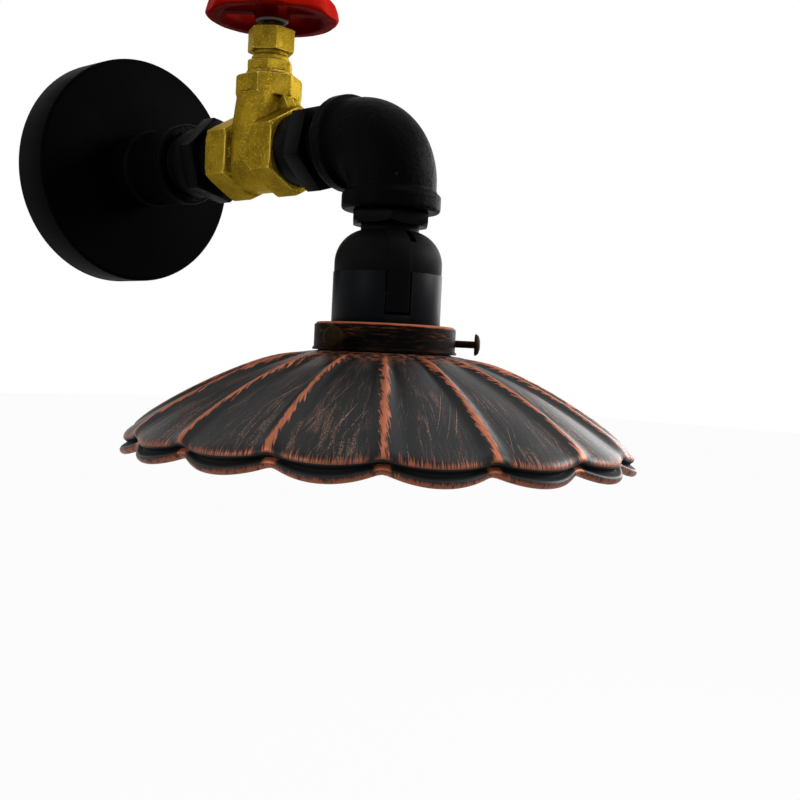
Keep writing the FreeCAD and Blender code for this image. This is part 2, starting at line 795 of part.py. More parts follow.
def valve_bonnet():
    """Bonnet screwed into the neck: hexagon, rounded shoulder and a threaded neck for the gland nut."""
    spigot = valve_chamber_diameter / 2 - thread_clearance
    spigot_bottom = bonnet_bottom - bonnet_spigot_length
    flange = bonnet_flange_diameter / 2
    flange_top = bonnet_bottom + bonnet_flange_height
    shoulder = bonnet_hex_flats / 2 - bonnet_shoulder_inset
    neck = bonnet_neck_diameter / 2
    outline = [(0, spigot_bottom), (spigot, spigot_bottom), (spigot, bonnet_bottom), (flange, bonnet_bottom),
               (flange, flange_top), (shoulder, flange_top), (shoulder, bonnet_shoulder_top - edge_chamfer),
               (shoulder - edge_chamfer, bonnet_shoulder_top), (neck - small_chamfer, bonnet_shoulder_top),
               (neck, bonnet_shoulder_top + small_chamfer), (neck, bonnet_top), (0, bonnet_top)]
    body = revolved(outline)
    body = body.fuse(hexagon(bonnet_hex_flats, flange_top, bonnet_hex_top, bonnet_hex_turn, edge_chamfer))
    pocket = stem_collar_diameter + 2 * stem_collar_clearance
    pocket_top = stem_collar_bottom + stem_collar_height + stem_collar_float
    body = body.cut(cylinder(stem_hole, spigot_bottom - 1, bonnet_top + 1))
    body = body.cut(cylinder(pocket, spigot_bottom - 1, pocket_top))
    body = body.cut(cylinder(gland_bore, bonnet_top - packing_height, bonnet_top + 1))
    return on_stem(body.removeSplitter())


def gland_packing():
    outer = gland_bore - 2 * shaft_clearance
    return on_stem(ring(outer, stem_hole, bonnet_top - packing_height, follower_bottom))


def gland_follower():
    outer = gland_bore - 2 * shaft_clearance
    return on_stem(ring(outer, stem_hole, follower_bottom, follower_top))


def gland_nut():
    """Nut over the packing, bored for the stem at its top."""
    nut = hexagon(gland_nut_flats, gland_nut_bottom, gland_nut_top, gland_nut_turn, edge_chamfer)
    nut = nut.cut(cylinder(bonnet_neck_diameter + 2 * thread_clearance, gland_nut_bottom - 1, follower_top))
    hole = stem_diameter + 2 * gland_nut_hole_clearance
    return on_stem(nut.cut(cylinder(hole, gland_nut_bottom - 1, gland_nut_top + 1)))


def valve_stem():
    """Turning stem: thrust collar under the bonnet, square for the wheel and a threaded tip."""
    half = stem_square / 2
    stem = cylinder(stem_diameter, stem_collar_bottom - stem_tail_length, wheel_hub_bottom)
    collar_top = stem_collar_bottom + stem_collar_height
    stem = stem.fuse(cylinder(stem_collar_diameter, stem_collar_bottom, collar_top))
    square = box((-half, -half, wheel_hub_bottom - 1), (half, half, wheel_hub_top - stem_square_sink))
    stem = stem.fuse(square.common(cylinder(stem_diameter, wheel_hub_bottom - 1, wheel_hub_top)))
    tip = cylinder(stem_stud_diameter, wheel_hub_bottom, wheel_nut_top + stem_tip_length)
    return on_stem(stem.fuse(tip).removeSplitter())


def wheel_outline(radius, height):
    """Closed lobed curve round the wheel's rim."""
    points = []
    samples = 8 * wheel_lobes
    for step in range(samples):
        turn = 2 * math.pi * step / samples
        reach = radius - wheel_lobe_depth * (1 - math.cos(wheel_lobes * turn)) / 2
        points.append(V(reach * math.cos(turn), reach * math.sin(turn), height))
    curve = Part.BSplineCurve()
    curve.interpolate(points, PeriodicFlag=True)
    return Part.Wire([curve.toShape()])


def handwheel():
    """Cast wheel: lobed rim that tapers upward, spokes and a hub with a square hole."""
    radius = wheel_diameter / 2
    top_radius = radius - wheel_rim_taper
    inner = radius - wheel_lobe_depth - wheel_rim_width
    edge = wheel_rim_edge
    crown = wheel_rim_crown
    section = revolved([(inner + crown, wheel_rim_bottom), (radius - edge, wheel_rim_bottom),
                        (radius, wheel_rim_bottom + edge), (top_radius, wheel_rim_top - edge),
                        (top_radius - edge, wheel_rim_top), (inner + crown, wheel_rim_top),
                        (inner, wheel_rim_top - crown), (inner, wheel_rim_bottom + crown)])
    outlines = [wheel_outline(radius, wheel_rim_bottom), wheel_outline(top_radius, wheel_rim_top)]
    wheel = Part.makeLoft(outlines, True, True).common(section)
    hub = wheel_hub_diameter / 2
    low = (wheel_rim_bottom + wheel_rim_top - wheel_spoke_thickness) / 2
    half = wheel_spoke_width / 2
    spoke_end = inner + wheel_spoke_root
    spoke = box((hub - wheel_spoke_root, -half, low), (spoke_end, half, low + wheel_spoke_thickness))
    long_edges = [edge for edge in spoke.Edges if edge.BoundBox.XLength > inner - hub]
    spoke = spoke.makeFillet(wheel_spoke_edge, long_edges)
    for step in range(wheel_spokes):
        wheel = wheel.fuse(turned(spoke, 360 / wheel_spokes * (step + 0.5)))
    rounding = wheel_hub_edge
    wheel = wheel.fuse(revolved([(0, wheel_hub_bottom), (hub - rounding, wheel_hub_bottom),
                                 (hub, wheel_hub_bottom + rounding), (hub, wheel_hub_top - rounding),
                                 (hub - rounding, wheel_hub_top), (0, wheel_hub_top)]))
    hole = stem_square / 2 + shaft_clearance
    hole = box((-hole, -hole, wheel_hub_bottom - 1), (hole, hole, wheel_hub_top + 1))
    return on_stem(wheel.cut(hole).removeSplitter())


def wheel_washer():
    hole = stem_stud_diameter + 2 * wheel_washer_clearance
    return on_stem(ring(wheel_washer_diameter, hole, wheel_hub_top, wheel_washer_top))


def wheel_nut():
    nut = hexagon(wheel_nut_flats, wheel_washer_top, wheel_nut_top, wheel_nut_turn)
    hole = stem_stud_diameter + 2 * thread_clearance
    return on_stem(nut.cut(cylinder(hole, wheel_washer_top - 1, wheel_nut_top + 1)))


def bend(diameter):
    """Quarter bend of round section in the elbow, from the arm's side to the lamp's side."""
    centre = V(0, -lamp_reach + elbow_bend_radius, -elbow_bend_radius)
    section = Part.Face(Part.Wire([Part.makeCircle(diameter / 2, V(0, centre.y, 0), V(0, 1, 0))]))
    return section.revolve(centre, V(1, 0, 0), 90)


def pipe_elbow():
    """Banded elbow with a pipe thread in each mouth."""
    face = -elbow_reach_to_face
    body = bend(elbow_body_diameter)
    body = body.fuse(on_arm(cylinder(elbow_body_diameter, 0, elbow_straight), elbow_face_reach))
    body = body.fuse(on_lamp(cylinder(elbow_body_diameter, face, -elbow_bend_radius)))
    radius = elbow_body_diameter / 2
    band = radius + elbow_band_rise
    band_shape = revolved([(0, 0), (band - edge_chamfer, 0), (band, edge_chamfer),
                           (band, elbow_band_width - elbow_band_slope), (radius, elbow_band_width),
                           (0, elbow_band_width)])
    body = body.fuse(on_arm(band_shape, elbow_face_reach))
    lower_band = on_lamp(band_shape)
    lower_band.translate(V(0, 0, face))
    body = body.fuse(lower_band)
    thread_depth = thread_engagement + thread_relief
    bore = bend(pipe_bore)
    bore = bore.fuse(on_arm(cylinder(pipe_bore, -1, elbow_straight), elbow_face_reach))
    bore = bore.fuse(on_lamp(cylinder(pipe_bore, face - 1, -elbow_bend_radius)))
    bore = bore.fuse(on_arm(cylinder(pipe_thread_bore, -1, thread_depth), elbow_face_reach))
    bore = bore.fuse(on_lamp(cylinder(pipe_thread_bore, face - 1, face + thread_depth)))
    return body.cut(bore).removeSplitter()


def hex_bushing():
    """Bushing that closes the elbow's lower mouth and carries the hollow lamp tube."""
    body = hexagon(bushing_hex_flats, bushing_bottom, bushing_top, bushing_turn, bushing_hex_chamfer)
    body = body.fuse(pipe_thread(bushing_top, bushing_thread_top))
    return on_lamp(body.cut(cylinder(lamp_tube_hole, bushing_bottom - 1, bushing_thread_top + 1)))


def lamp_tube():
    bore = lamp_tube_diameter - 2 * lamp_tube_wall
    tube = threaded_bar(lamp_tube_diameter, lamp_thread_pitch, lamp_thread_depth, boss_bottom,
                        bushing_thread_top)
    return on_lamp(tube.cut(cylinder(bore, boss_bottom - 1, bushing_thread_top + 1)))


def dome(shrink):
    """The lampholder's dome, shrunk inward by a wall."""
    radius = holder_diameter / 2 - shrink
    arc = holder_dome_radius - shrink
    centre_radius = holder_diameter / 2 - holder_dome_radius
    centre_height = dome_top - holder_dome_radius
    axis_top = V(0, 0, dome_top - shrink)
    arc_start = V(centre_radius, 0, dome_top - shrink)
    arc_middle = V(centre_radius + arc * math.sqrt(0.5), 0, centre_height + arc * math.sqrt(0.5))
    arc_end = V(radius, 0, centre_height)
    side_end = V(radius, 0, seam_height)
    axis_bottom = V(0, 0, seam_height)
    edges = [Part.makeLine(axis_top, arc_start), Part.Arc(arc_start, arc_middle, arc_end).toShape(),
             Part.makeLine(arc_end, side_end), Part.makeLine(side_end, axis_bottom),
             Part.makeLine(axis_bottom, axis_top)]
    return Part.Face(Part.Wire(edges)).revolve(V(0, 0, 0), V(0, 0, 1), 360)


def lampholder_cap():
    """Domed upper half: entry neck, threaded boss, screw spigot, and a strip and lock tongue at two sides."""
    half = tongue_width / 2
    strips = dome(-tongue_strip_rise).common(box((-holder_diameter, -half, seam_height),
                                                 (holder_diameter, half, dome_top)))
    cap = dome(0).fuse(turned(strips, tongue_azimuth))
    cap = cap.fuse(cylinder(holder_neck_diameter, dome_top - holder_wall, bushing_bottom))
    cap = cap.cut(dome(holder_wall))
    spigot_bottom = seam_height - holder_spigot_length
    spigot_inner = cap_spigot_diameter - 2 * holder_wall
    cap = cap.fuse(ring(cap_spigot_diameter, spigot_inner, spigot_bottom, seam_height + 1))
    cap = cap.fuse(cylinder(holder_boss_diameter, boss_bottom, dome_top))
    cap = cap.cut(cylinder(lamp_tube_hole, boss_bottom - 1, bushing_bottom + 1))
    for turn in (0, 180):
        cap = cap.fuse(turned(lock_tongue(), tongue_azimuth + turn))
    notch_height = dome_top - grub_drop
    half = grub_notch_width / 2
    notch = box((holder_boss_diameter / 2, -half, notch_height - grub_notch_drop),
                (holder_diameter, half, dome_top - grub_notch_start))
    tapped = cylinder(grub_diameter + 2 * thread_clearance, 0, holder_boss_diameter / 2)
    tapped = outward(tapped, lamp_tube_diameter / 2 - 1, notch_height)
    cap = cap.cut(turned(notch, grub_azimuth)).cut(turned(tapped, grub_azimuth))
    return on_lamp(cap.removeSplitter())


def lock_tongue():
    """Curved tongue, flush with the skirt, that hangs from the cap's spigot."""
    overlap = seam_height + 0.01
    bottom = seam_height - tongue_length
    half = tongue_width / 2
    tongue = ring(skirt_diameter, skirt_inner_diameter, bottom, overlap)
    root_inner = cap_spigot_diameter - holder_wall
    root = ring(skirt_diameter, root_inner, seam_height - holder_spigot_length, overlap)
    return tongue.fuse(root).common(box((0, -half, bottom), (skirt_diameter, half, overlap)))


def cap_grub_screw():
    grub = slotted(cylinder(grub_diameter, 0, grub_length), small_slot_width, small_slot_depth, grub_length)
    start = lamp_tube_diameter / 2 + thread_clearance
    return on_lamp(outward(grub, start, dome_top - grub_drop), grub_azimuth)


def lampholder_skirt():
    """Lower half: sleeve with rebates for the lock tongues, a ledge inside and the gallery's shoulder."""
    liner = shell_outer_diameter + 2 * shell_side_gap
    skirt = cylinder(skirt_diameter, gallery_top, seam_height - skirt_seam)
    skirt = skirt.fuse(cylinder(skirt_thread_diameter, skirt_bottom, gallery_top))
    skirt = skirt.cut(cylinder(skirt_inner_diameter, insert_bottom, seam_height + 1))
    skirt = skirt.cut(cylinder(liner, skirt_bottom - 1, insert_bottom + 1))
    groove_outer = skirt_thread_diameter - 2 * skirt_groove_wall
    groove_inner = liner + 2 * skirt_groove_wall
    skirt = skirt.cut(ring(groove_outer, groove_inner, skirt_bottom - 1, insert_bottom - skirt_groove_roof))
    half = tongue_width / 2 + tongue_side_gap
    slot_bottom = seam_height - tongue_length - tongue_end_gap
    slot = box((skirt_inner_diameter / 2 - tongue_rebate, -half, slot_bottom), (skirt_diameter, half, 0))
    for turn in (0, 180):
        skirt = skirt.cut(turned(slot, tongue_azimuth + turn))
    return on_lamp(skirt.removeSplitter())


def lampholder_insert():
    """Ceramic core: pockets for the terminal posts, wire holes and two ears for the contact's pivot."""
    body = cylinder(insert_diameter, insert_bottom, insert_top)
    half = post_width / 2 + thread_clearance
    near = post_offset - post_depth / 2 - thread_clearance
    pocket = box((near, -half, insert_top - post_height), (insert_diameter, half, insert_top + 1))
    for turn in (0, 180):
        body = body.cut(turned(pocket, turn))
    body = body.cut(cylinder(insert_bore, insert_top - insert_bore_depth, insert_top + 1))
    ear_near = leaf_width / 2 + leaf_play
    ear_left = leaf_offset - leaf_ear_thickness
    ear_right = leaf_offset + leaf_ear_thickness
    ear_low = leaf_height - leaf_ear_height / 2
    for side in (-1, 1):
        low, high = sorted((side * ear_near, side * (ear_near + leaf_ear_thickness)))
        body = body.fuse(box((ear_left, low, ear_low), (ear_right, high, insert_bottom + 1)))
    span = 2 * (ear_near + leaf_ear_thickness) + 1
    pin_hole = cross_rod(leaf_pin_diameter + 2 * shaft_clearance, span, leaf_offset, leaf_height)
    return on_lamp(body.cut(pin_hole).removeSplitter())


def terminal_posts():
    """Two brass posts, bored from above for the wire and tapped from the side."""
    half = post_width / 2
    near = post_offset - post_depth / 2
    post = box((near, -half, insert_top - post_height), (near + post_depth, half, insert_top - post_sink))
    floor = insert_top - post_height + post_floor
    wire_hole = cylinder(wire_diameter + 2 * wire_hole_clearance, floor, insert_top)
    wire_hole.translate(V(post_offset, 0, 0))
    tapped = cylinder(post_screw_diameter + thread_clearance, 0, post_depth)
    post = post.cut(wire_hole).cut(outward(tapped, post_offset, insert_top - post_screw_drop))
    return on_lamp(Part.makeCompound([post, turned(post, 180)]))


def terminal_post_screws():
    screw = cylinder(post_screw_diameter, 0, post_screw_length)
    screw = slotted(screw, small_slot_width, small_slot_depth, post_screw_length)
    start = post_offset + wire_diameter / 2 + wire_hole_clearance
    screw = outward(screw, start, insert_top - post_screw_drop)
    return on_lamp(Part.makeCompound([screw, turned(screw, 180)]))


def screw_shell():
    """Brass screw shell for the bulb, with rounded thread rings, hung from the insert."""
    outer = shell_outer_diameter / 2
    root = outer - shell_thread_depth
    pitch = shell_thread_pitch
    top = insert_bottom - leaf_ear_height - shell_top_gap
    bottom = insert_bottom - shell_length
    turns = int((top - bottom) / pitch)
    outer_side = [(outer, insert_bottom), (outer, top)]
    for turn in range(turns):
        low = top - turn * pitch
        outer_side.append((root, low - 0.35 * pitch))
        outer_side.append((root, low - 0.65 * pitch))
        outer_side.append((outer, low - pitch))
    outer_side.append((outer, bottom))
    inner_side = [(radius - shell_wall, height) for radius, height in reversed(outer_side)]
    return on_lamp(revolved(outer_side + inner_side))


def centre_contact():
    """Sprung brass leaf that presses on the bulb's tip, stepped down at its free end."""
    half = leaf_width / 2
    step_at = leaf_tip_length - leaf_overhang
    tip_top = leaf_height - leaf_drop
    step_back = step_at - leaf_thickness
    tip_bottom = tip_top - leaf_thickness
    leaf = box((step_back, -half, leaf_height - leaf_thickness), (leaf_offset, half, leaf_height))
    leaf = leaf.fuse(box((-leaf_overhang, -half, tip_bottom), (step_at, half, tip_top)))
    leaf = leaf.fuse(box((step_back, -half, tip_bottom), (step_at, half, leaf_height)))
    eye = leaf_pin_diameter + 2 * leaf_thickness
    leaf = leaf.fuse(cross_rod(eye, leaf_width, leaf_offset, leaf_height))
    hole = cross_rod(leaf_pin_diameter + 2 * shaft_clearance, leaf_width + 1, leaf_offset, leaf_height)
    return on_lamp(leaf.cut(hole).removeSplitter())


def centre_contact_pin():
    span = leaf_width + 2 * (leaf_play + leaf_ear_thickness)
    return on_lamp(cross_rod(leaf_pin_diameter, span, leaf_offset, leaf_height))


def clamp_ring():
    """Threaded ring on the skirt's lower end that clamps the gallery from below."""
    top = gallery_top - gallery_wall
    bottom = top - clamp_ring_height
    body = ring(clamp_ring_diameter, clamp_ring_bore, bottom, top)
    grip = cylinder(clamp_grip_diameter, bottom - 1, top - 1)
    grip.translate(V((clamp_ring_diameter + clamp_grip_diameter / 3) / 2, 0, 0))
    for step in range(clamp_ring_grips):
        body = body.cut(turned(grip, 360 / clamp_ring_grips * step))
    return on_lamp(body)


def gallery():
    """Shallow spun cup round the skirt: top plate, plain wall with a rolled lower hem, tapped holes."""
    radius = gallery_diameter / 2
    hole = skirt_thread_diameter / 2 + gallery_hole_clearance
    wall = radius - gallery_wall
    hem = radius + gallery_hem
    hem_top = gallery_bottom + gallery_hem_height
    edge_start = radius - gallery_edge
    edge_end = gallery_top - gallery_edge
    outline = [(hole, gallery_top), (edge_start, gallery_top), (radius, edge_end), (radius, hem_top),
               (hem, hem_top - gallery_hem), (hem, gallery_bottom), (wall, gallery_bottom),
               (wall, gallery_top - gallery_wall), (hole, gallery_top - gallery_wall)]
    body = revolved(outline)
    tapped = cylinder(thumbscrew_diameter + 2 * shaft_clearance, 0, gallery_diameter)
    tapped = outward(tapped, shade_neck_diameter / 2, thumbscrew_height)
    for step in range(thumbscrew_count):
        body = body.cut(turned(tapped, thumbscrew_azimuth(step)))
    return on_lamp(body)


def thumbscrew_azimuth(step):
    return thumbscrew_first_azimuth + step * 360 / thumbscrew_count


def thumbscrew(step):
    """Small screw with a domed head that grips the shade's neck below its lip."""
    head = thumbscrew_head_diameter / 2
    shank = thumbscrew_diameter / 2
    length = thumbscrew_shank_length
    top = length + thumbscrew_head_height
    edge = thumbscrew_edge
    outline = [(0, 0), (shank - edge, 0), (shank, edge), (shank, length), (head - edge, length),
               (head, length + edge), (head, length + 2 * edge), (head * 0.8, top - 1.5 * edge),
               (head * 0.4, top), (0, top)]
    start = shade_neck_diameter / 2 + thumbscrew_tip_gap
    return on_lamp(outward(revolved(outline), start, thumbscrew_height), thumbscrew_azimuth(step))


def skin_height(radius):
    """Height of the shade's outer skin at a radius from its crown outwards."""
    share = (radius - shade_crown_radius) / (shade_hem_radius - shade_crown_radius)
    return shade_crown_height - shade_skin_drop * share + shade_belly * 4 * share * (1 - share)


def hem_line(radius):
    """Height of the hem's bead: lowest in the middle of a scallop, highest at a notch."""
    return shade_hem_height + (shade_hem_radius - radius) * shade_notch_rise / shade_notch_depth


def skin_points(start, end, samples):
    radii = [start + (end - start) * step / samples for step in range(samples + 1)]
    return [(radius, skin_height(radius)) for radius in radii]


def scallop_arcs(inset):
    """One arc a flute from notch to notch, through the scallop's middle, along the hem line."""
    flute = 2 * math.pi / shade_flutes
    arcs = []
    for step in range(shade_flutes):
        points = []
        for share, radius in ((0, shade_notch_radius), (0.5, shade_hem_radius), (1, shade_notch_radius)):
            turn = flute * (step + share)
            reach = radius - inset
            points.append(V(reach * math.cos(turn), reach * math.sin(turn), hem_line(radius)))
        arcs.append(points)
    return arcs


def scallop_prism(inset):
    """Upright prism over the scalloped outline, taller than the shade."""
    low = shade_hem_height - 10
    edges = []
    for points in scallop_arcs(inset):
        flat = [V(point.x, point.y, low) for point in points]
        edges.append(Part.Arc(*flat).toShape())
    return Part.Face(Part.Wire(edges)).extrude(V(0, 0, gallery_top - low))


def shade_skin():
    """Neck with a lip, shoulder and conical skin, trimmed to the scalloped outline."""
    neck = shade_neck_diameter / 2
    lip = neck + shade_lip_rise
    lip_top = gallery_top - shade_lip_drop
    lip_bottom = lip_top - shade_lip_height
    neck_top = lip_bottom - shade_lip_rise
    outer = [(lip, lip_top), (lip, lip_bottom), (neck, neck_top), (neck, shade_crown_height)]
    inner = [(radius - shade_wall, height) for radius, height in outer]
    slope = skin_points(shade_crown_radius, shade_hem_radius + 1, 10)
    inner += [(radius - shade_skin_shift, height - shade_wall) for radius, height in slope]
    return revolved(outer + slope + list(reversed(inner))).common(scallop_prism(0))


def shade_flange():
    """Upright scalloped wall from the skin down to the hem's bead."""
    wall = scallop_prism(0).cut(scallop_prism(shade_wall))
    start = shade_notch_radius - 2 * shade_wall
    end = shade_hem_radius + 1
    outline = [(start, hem_line(start)), (end, hem_line(end))]
    outline += list(reversed(skin_points(start, end, 4)))
    return wall.common(revolved(outline))


def shade_bead(points):
    """Round bead along one scallop."""
    path = Part.Wire([Part.Arc(*points).toShape()])
    radius = shade_bead_diameter / 2
    heading = path.Edges[0].tangentAt(path.Edges[0].FirstParameter)
    profile = Part.Wire([Part.makeCircle(radius, points[0], heading)])
    bead = path.makePipeShell([profile], True, False)
    return bead.fuse(Part.makeSphere(radius, points[0]))


def shade_ridge():
    """Narrow raised ridge that follows the shade's skin from near the crown to a notch."""
    start = shade_crown_radius + shade_ridge_start
    skin = skin_points(start, shade_notch_radius - 0.5, 8)
    top = [V(radius, 0, height + shade_ridge_height) for radius, height in skin[1:-1]]
    ends = [V(radius, 0, height + 0.05) for radius, height in (skin[0], skin[-1])]
    bottom = [V(radius, 0, height - shade_wall / 2) for radius, height in reversed(skin)]
    outline = [ends[0]] + top + [ends[1]] + bottom
    blade = Part.Face(Part.makePolygon(outline + outline[:1])).extrude(V(0, shade_ridge_width, 0))
    blade.translate(V(0, -shade_ridge_width / 2, 0))
    return blade


def shade():
    """Pressed shade: flutes between raised ridges and a scalloped rim with a rolled bead."""
    body = shade_skin().fuse(shade_flange())
    pieces = [shade_bead(points) for points in scallop_arcs(0)]
    ridge = shade_ridge()
    pieces += [turned(ridge, 360 / shade_flutes * step) for step in range(shade_flutes)]
    return on_lamp(body.fuse(pieces).removeSplitter())


def lamp_wire(side, clamp):
    """Insulated wire from a terminal clamp, through the whole arm, to a post in the lampholder."""
    place = clamp_places()[clamp]
    block_top = block_height_centre + block_height / 2
    lane = side * wire_spread / 2
    down = -lamp_reach
    post = side * post_offset
    points = [(place, -clamp_reach, block_top - wire_clamp_depth), (place, -clamp_reach, block_top + 2.6),
              (lane, -4.2, -3.6), (lane, -5.4, 0), (lane, down, 0), (lane, down, boss_bottom - 1.0),
              (post, down, insert_top + 3.0), (post, down, insert_top - wire_post_depth)]
    return wire(points, wire_diameter)


def earth_wire():
    """Short wire from the block's last clamp to the tag on the stud."""
    place = clamp_places()[-1]
    block_top = block_height_centre + block_height / 2
    end = earth_tag_reach - wire_diameter / 2 - shaft_clearance
    points = [(place, -clamp_reach, block_top - wire_clamp_depth), (place, -clamp_reach, block_top + 1.6),
              (17, -8.5, -7), (21, -end + 0.85, 0), (earth_tag_length - 3.5, -end, 0)]
    return wire(points, wire_diameter)


def bracket_earth_wire():
    """Short wire from the block's last clamp, round beside it, up to the bracket's earth screw."""
    place = clamp_places()[-1]
    block_low = block_height_centre - block_height / 2
    points = [(place, -clamp_reach, block_low + wire_clamp_depth), (place, -clamp_reach, block_low - 2.8),
              (18.5, -5.0, block_low - 1.0), (19.5, -4.0, 6), (13, -3.6, earth_screw_height),
              (earth_screw_head / 2 + 0.1, -3.3, earth_screw_height)]
    return wire(points, wire_diameter)


save("canopy_cup", canopy_cup())
save("wall_bracket", wall_bracket())
save("canopy_side_screws", canopy_side_screws())
save("canopy_stud", canopy_stud())
save("canopy_lock_washer", canopy_lock_washer())
save("earth_tag", earth_tag())
save("canopy_lock_nut", canopy_lock_nut())
save("terminal_block", terminal_block())
save("terminal_clamps", terminal_clamps())
save("terminal_clamp_screws", terminal_clamp_screws())
save("terminal_block_screw", terminal_block_screw())
save("bracket_earth_screw", bracket_earth_screw())
save("pipe_socket", pipe_socket())
save("socket_plug", socket_plug())
save("wall_nipple", wall_nipple())
save("wall_lock_ring", lock_ring(wall_ring_reach))
save("valve_body", valve_body())
save("bonnet_gasket", bonnet_gasket())
save("valve_bonnet", valve_bonnet())
save("gland_packing", gland_packing())
save("gland_follower", gland_follower())
save("gland_nut", gland_nut())
save("valve_stem", valve_stem())
save("handwheel", handwheel())
save("wheel_washer", wheel_washer())
save("wheel_nut", wheel_nut())
save("lamp_nipple", lamp_nipple())
save("lamp_lock_ring", lock_ring(lamp_ring_reach))
save("pipe_elbow", pipe_elbow())
save("hex_bushing", hex_bushing())
save("lamp_tube", lamp_tube())
save("lampholder_cap", lampholder_cap())
save("cap_grub_screw", cap_grub_screw())
save("lampholder_skirt", lampholder_skirt())
save("lampholder_insert", lampholder_insert())
save("terminal_posts", terminal_posts())
save("terminal_post_screws", terminal_post_screws())
save("screw_shell", screw_shell())
save("centre_contact", centre_contact())
save("centre_contact_pin", centre_contact_pin())
save("clamp_ring", clamp_ring())
save("gallery", gallery())
for number in range(thumbscrew_count):
    save("thumbscrew_" + str(number + 1), thumbscrew(number))
save("shade", shade())
save("live_wire", lamp_wire(1, 1))
save("neutral_wire", lamp_wire(-1, 0))
save("earth_wire", earth_wire())
save("bracket_earth_wire", bracket_earth_wire())
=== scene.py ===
"""Pipe wall lamp, dressed: wall plate, pipe arm with a gate valve, lampholder and a fluted shade.

Metres, in the CAD frame: the wall is the plane y = 0, the arm runs along -Y and +Z is up.
"""
import json
import math

import bmesh
import bpy
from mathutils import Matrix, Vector

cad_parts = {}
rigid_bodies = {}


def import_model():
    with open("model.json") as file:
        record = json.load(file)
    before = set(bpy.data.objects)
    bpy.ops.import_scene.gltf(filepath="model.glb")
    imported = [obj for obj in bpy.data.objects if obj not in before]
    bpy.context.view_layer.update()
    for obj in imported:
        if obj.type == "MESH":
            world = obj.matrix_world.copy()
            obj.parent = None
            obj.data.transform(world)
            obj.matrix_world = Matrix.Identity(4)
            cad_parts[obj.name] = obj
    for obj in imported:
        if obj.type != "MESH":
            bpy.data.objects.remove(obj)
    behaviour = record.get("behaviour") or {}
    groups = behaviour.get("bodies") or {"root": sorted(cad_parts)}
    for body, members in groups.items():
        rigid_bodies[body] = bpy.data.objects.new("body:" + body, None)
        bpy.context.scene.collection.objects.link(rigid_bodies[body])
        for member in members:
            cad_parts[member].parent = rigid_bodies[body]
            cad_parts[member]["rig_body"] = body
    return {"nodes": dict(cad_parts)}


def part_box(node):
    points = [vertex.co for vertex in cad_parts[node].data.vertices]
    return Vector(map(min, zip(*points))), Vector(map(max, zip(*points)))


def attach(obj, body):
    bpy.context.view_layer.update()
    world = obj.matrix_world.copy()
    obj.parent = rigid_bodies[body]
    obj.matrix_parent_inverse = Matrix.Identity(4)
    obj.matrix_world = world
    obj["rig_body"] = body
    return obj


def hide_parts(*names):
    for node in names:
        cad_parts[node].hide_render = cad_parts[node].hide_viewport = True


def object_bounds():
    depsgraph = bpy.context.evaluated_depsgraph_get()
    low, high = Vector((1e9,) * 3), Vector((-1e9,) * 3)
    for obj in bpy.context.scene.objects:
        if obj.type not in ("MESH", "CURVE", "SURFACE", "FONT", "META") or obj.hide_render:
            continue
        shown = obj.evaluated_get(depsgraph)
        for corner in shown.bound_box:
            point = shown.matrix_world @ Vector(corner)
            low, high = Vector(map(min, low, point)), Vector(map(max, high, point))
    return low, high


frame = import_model()
cad_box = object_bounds()

# Camera
# It stands to the left of the lamp, level with the shade, and looks past the valve at the wall plate.
# The lens and place give the picture's perspective of the plate, the elbow and the shade's rim.
camera_place = (-0.31438, -0.48637, -0.08128)
camera_turn = [math.radians(angle) for angle in (88.149, -2.709, -46.518)]
camera_lens = 53.79
camera_film = 36
bpy.ops.object.camera_add(location=camera_place, rotation=camera_turn)
camera = bpy.context.object
camera.name = "camera"
camera.data.lens = camera_lens
camera.data.sensor_width = camera_film
bpy.context.scene.camera = camera
bpy.context.scene.view_settings.view_transform = "Standard"


# Studio
# A white surround, a pale floor below the lamp and five soft lamps, the strongest at the right.
# Only the camera and clear reflections see the white: the lamp itself is lit by a plain grey surround.
class Signal:
    """One socket of a material's nodes. Arithmetic on it adds Math nodes."""

    def __init__(self, finish, socket):
        self.finish = finish
        self.socket = socket

    def math(self, operation, *values):
        sockets = dict(enumerate(values))
        return self.finish.add("ShaderNodeMath", {"operation": operation}, sockets)

    def __add__(self, other):
        return self.math("ADD", self, other)

    def __radd__(self, other):
        return self.math("ADD", other, self)

    def __sub__(self, other):
        return self.math("SUBTRACT", self, other)

    def __rsub__(self, other):
        return self.math("SUBTRACT", other, self)

    def __mul__(self, other):
        return self.math("MULTIPLY", self, other)

    def __rmul__(self, other):
        return self.math("MULTIPLY", other, self)

    def __pow__(self, other):
        return self.math("POWER", self, other)

    def __abs__(self):
        return self.math("ABSOLUTE", self)

    def at_least(self, other):
        return self.math("MAXIMUM", self, other)


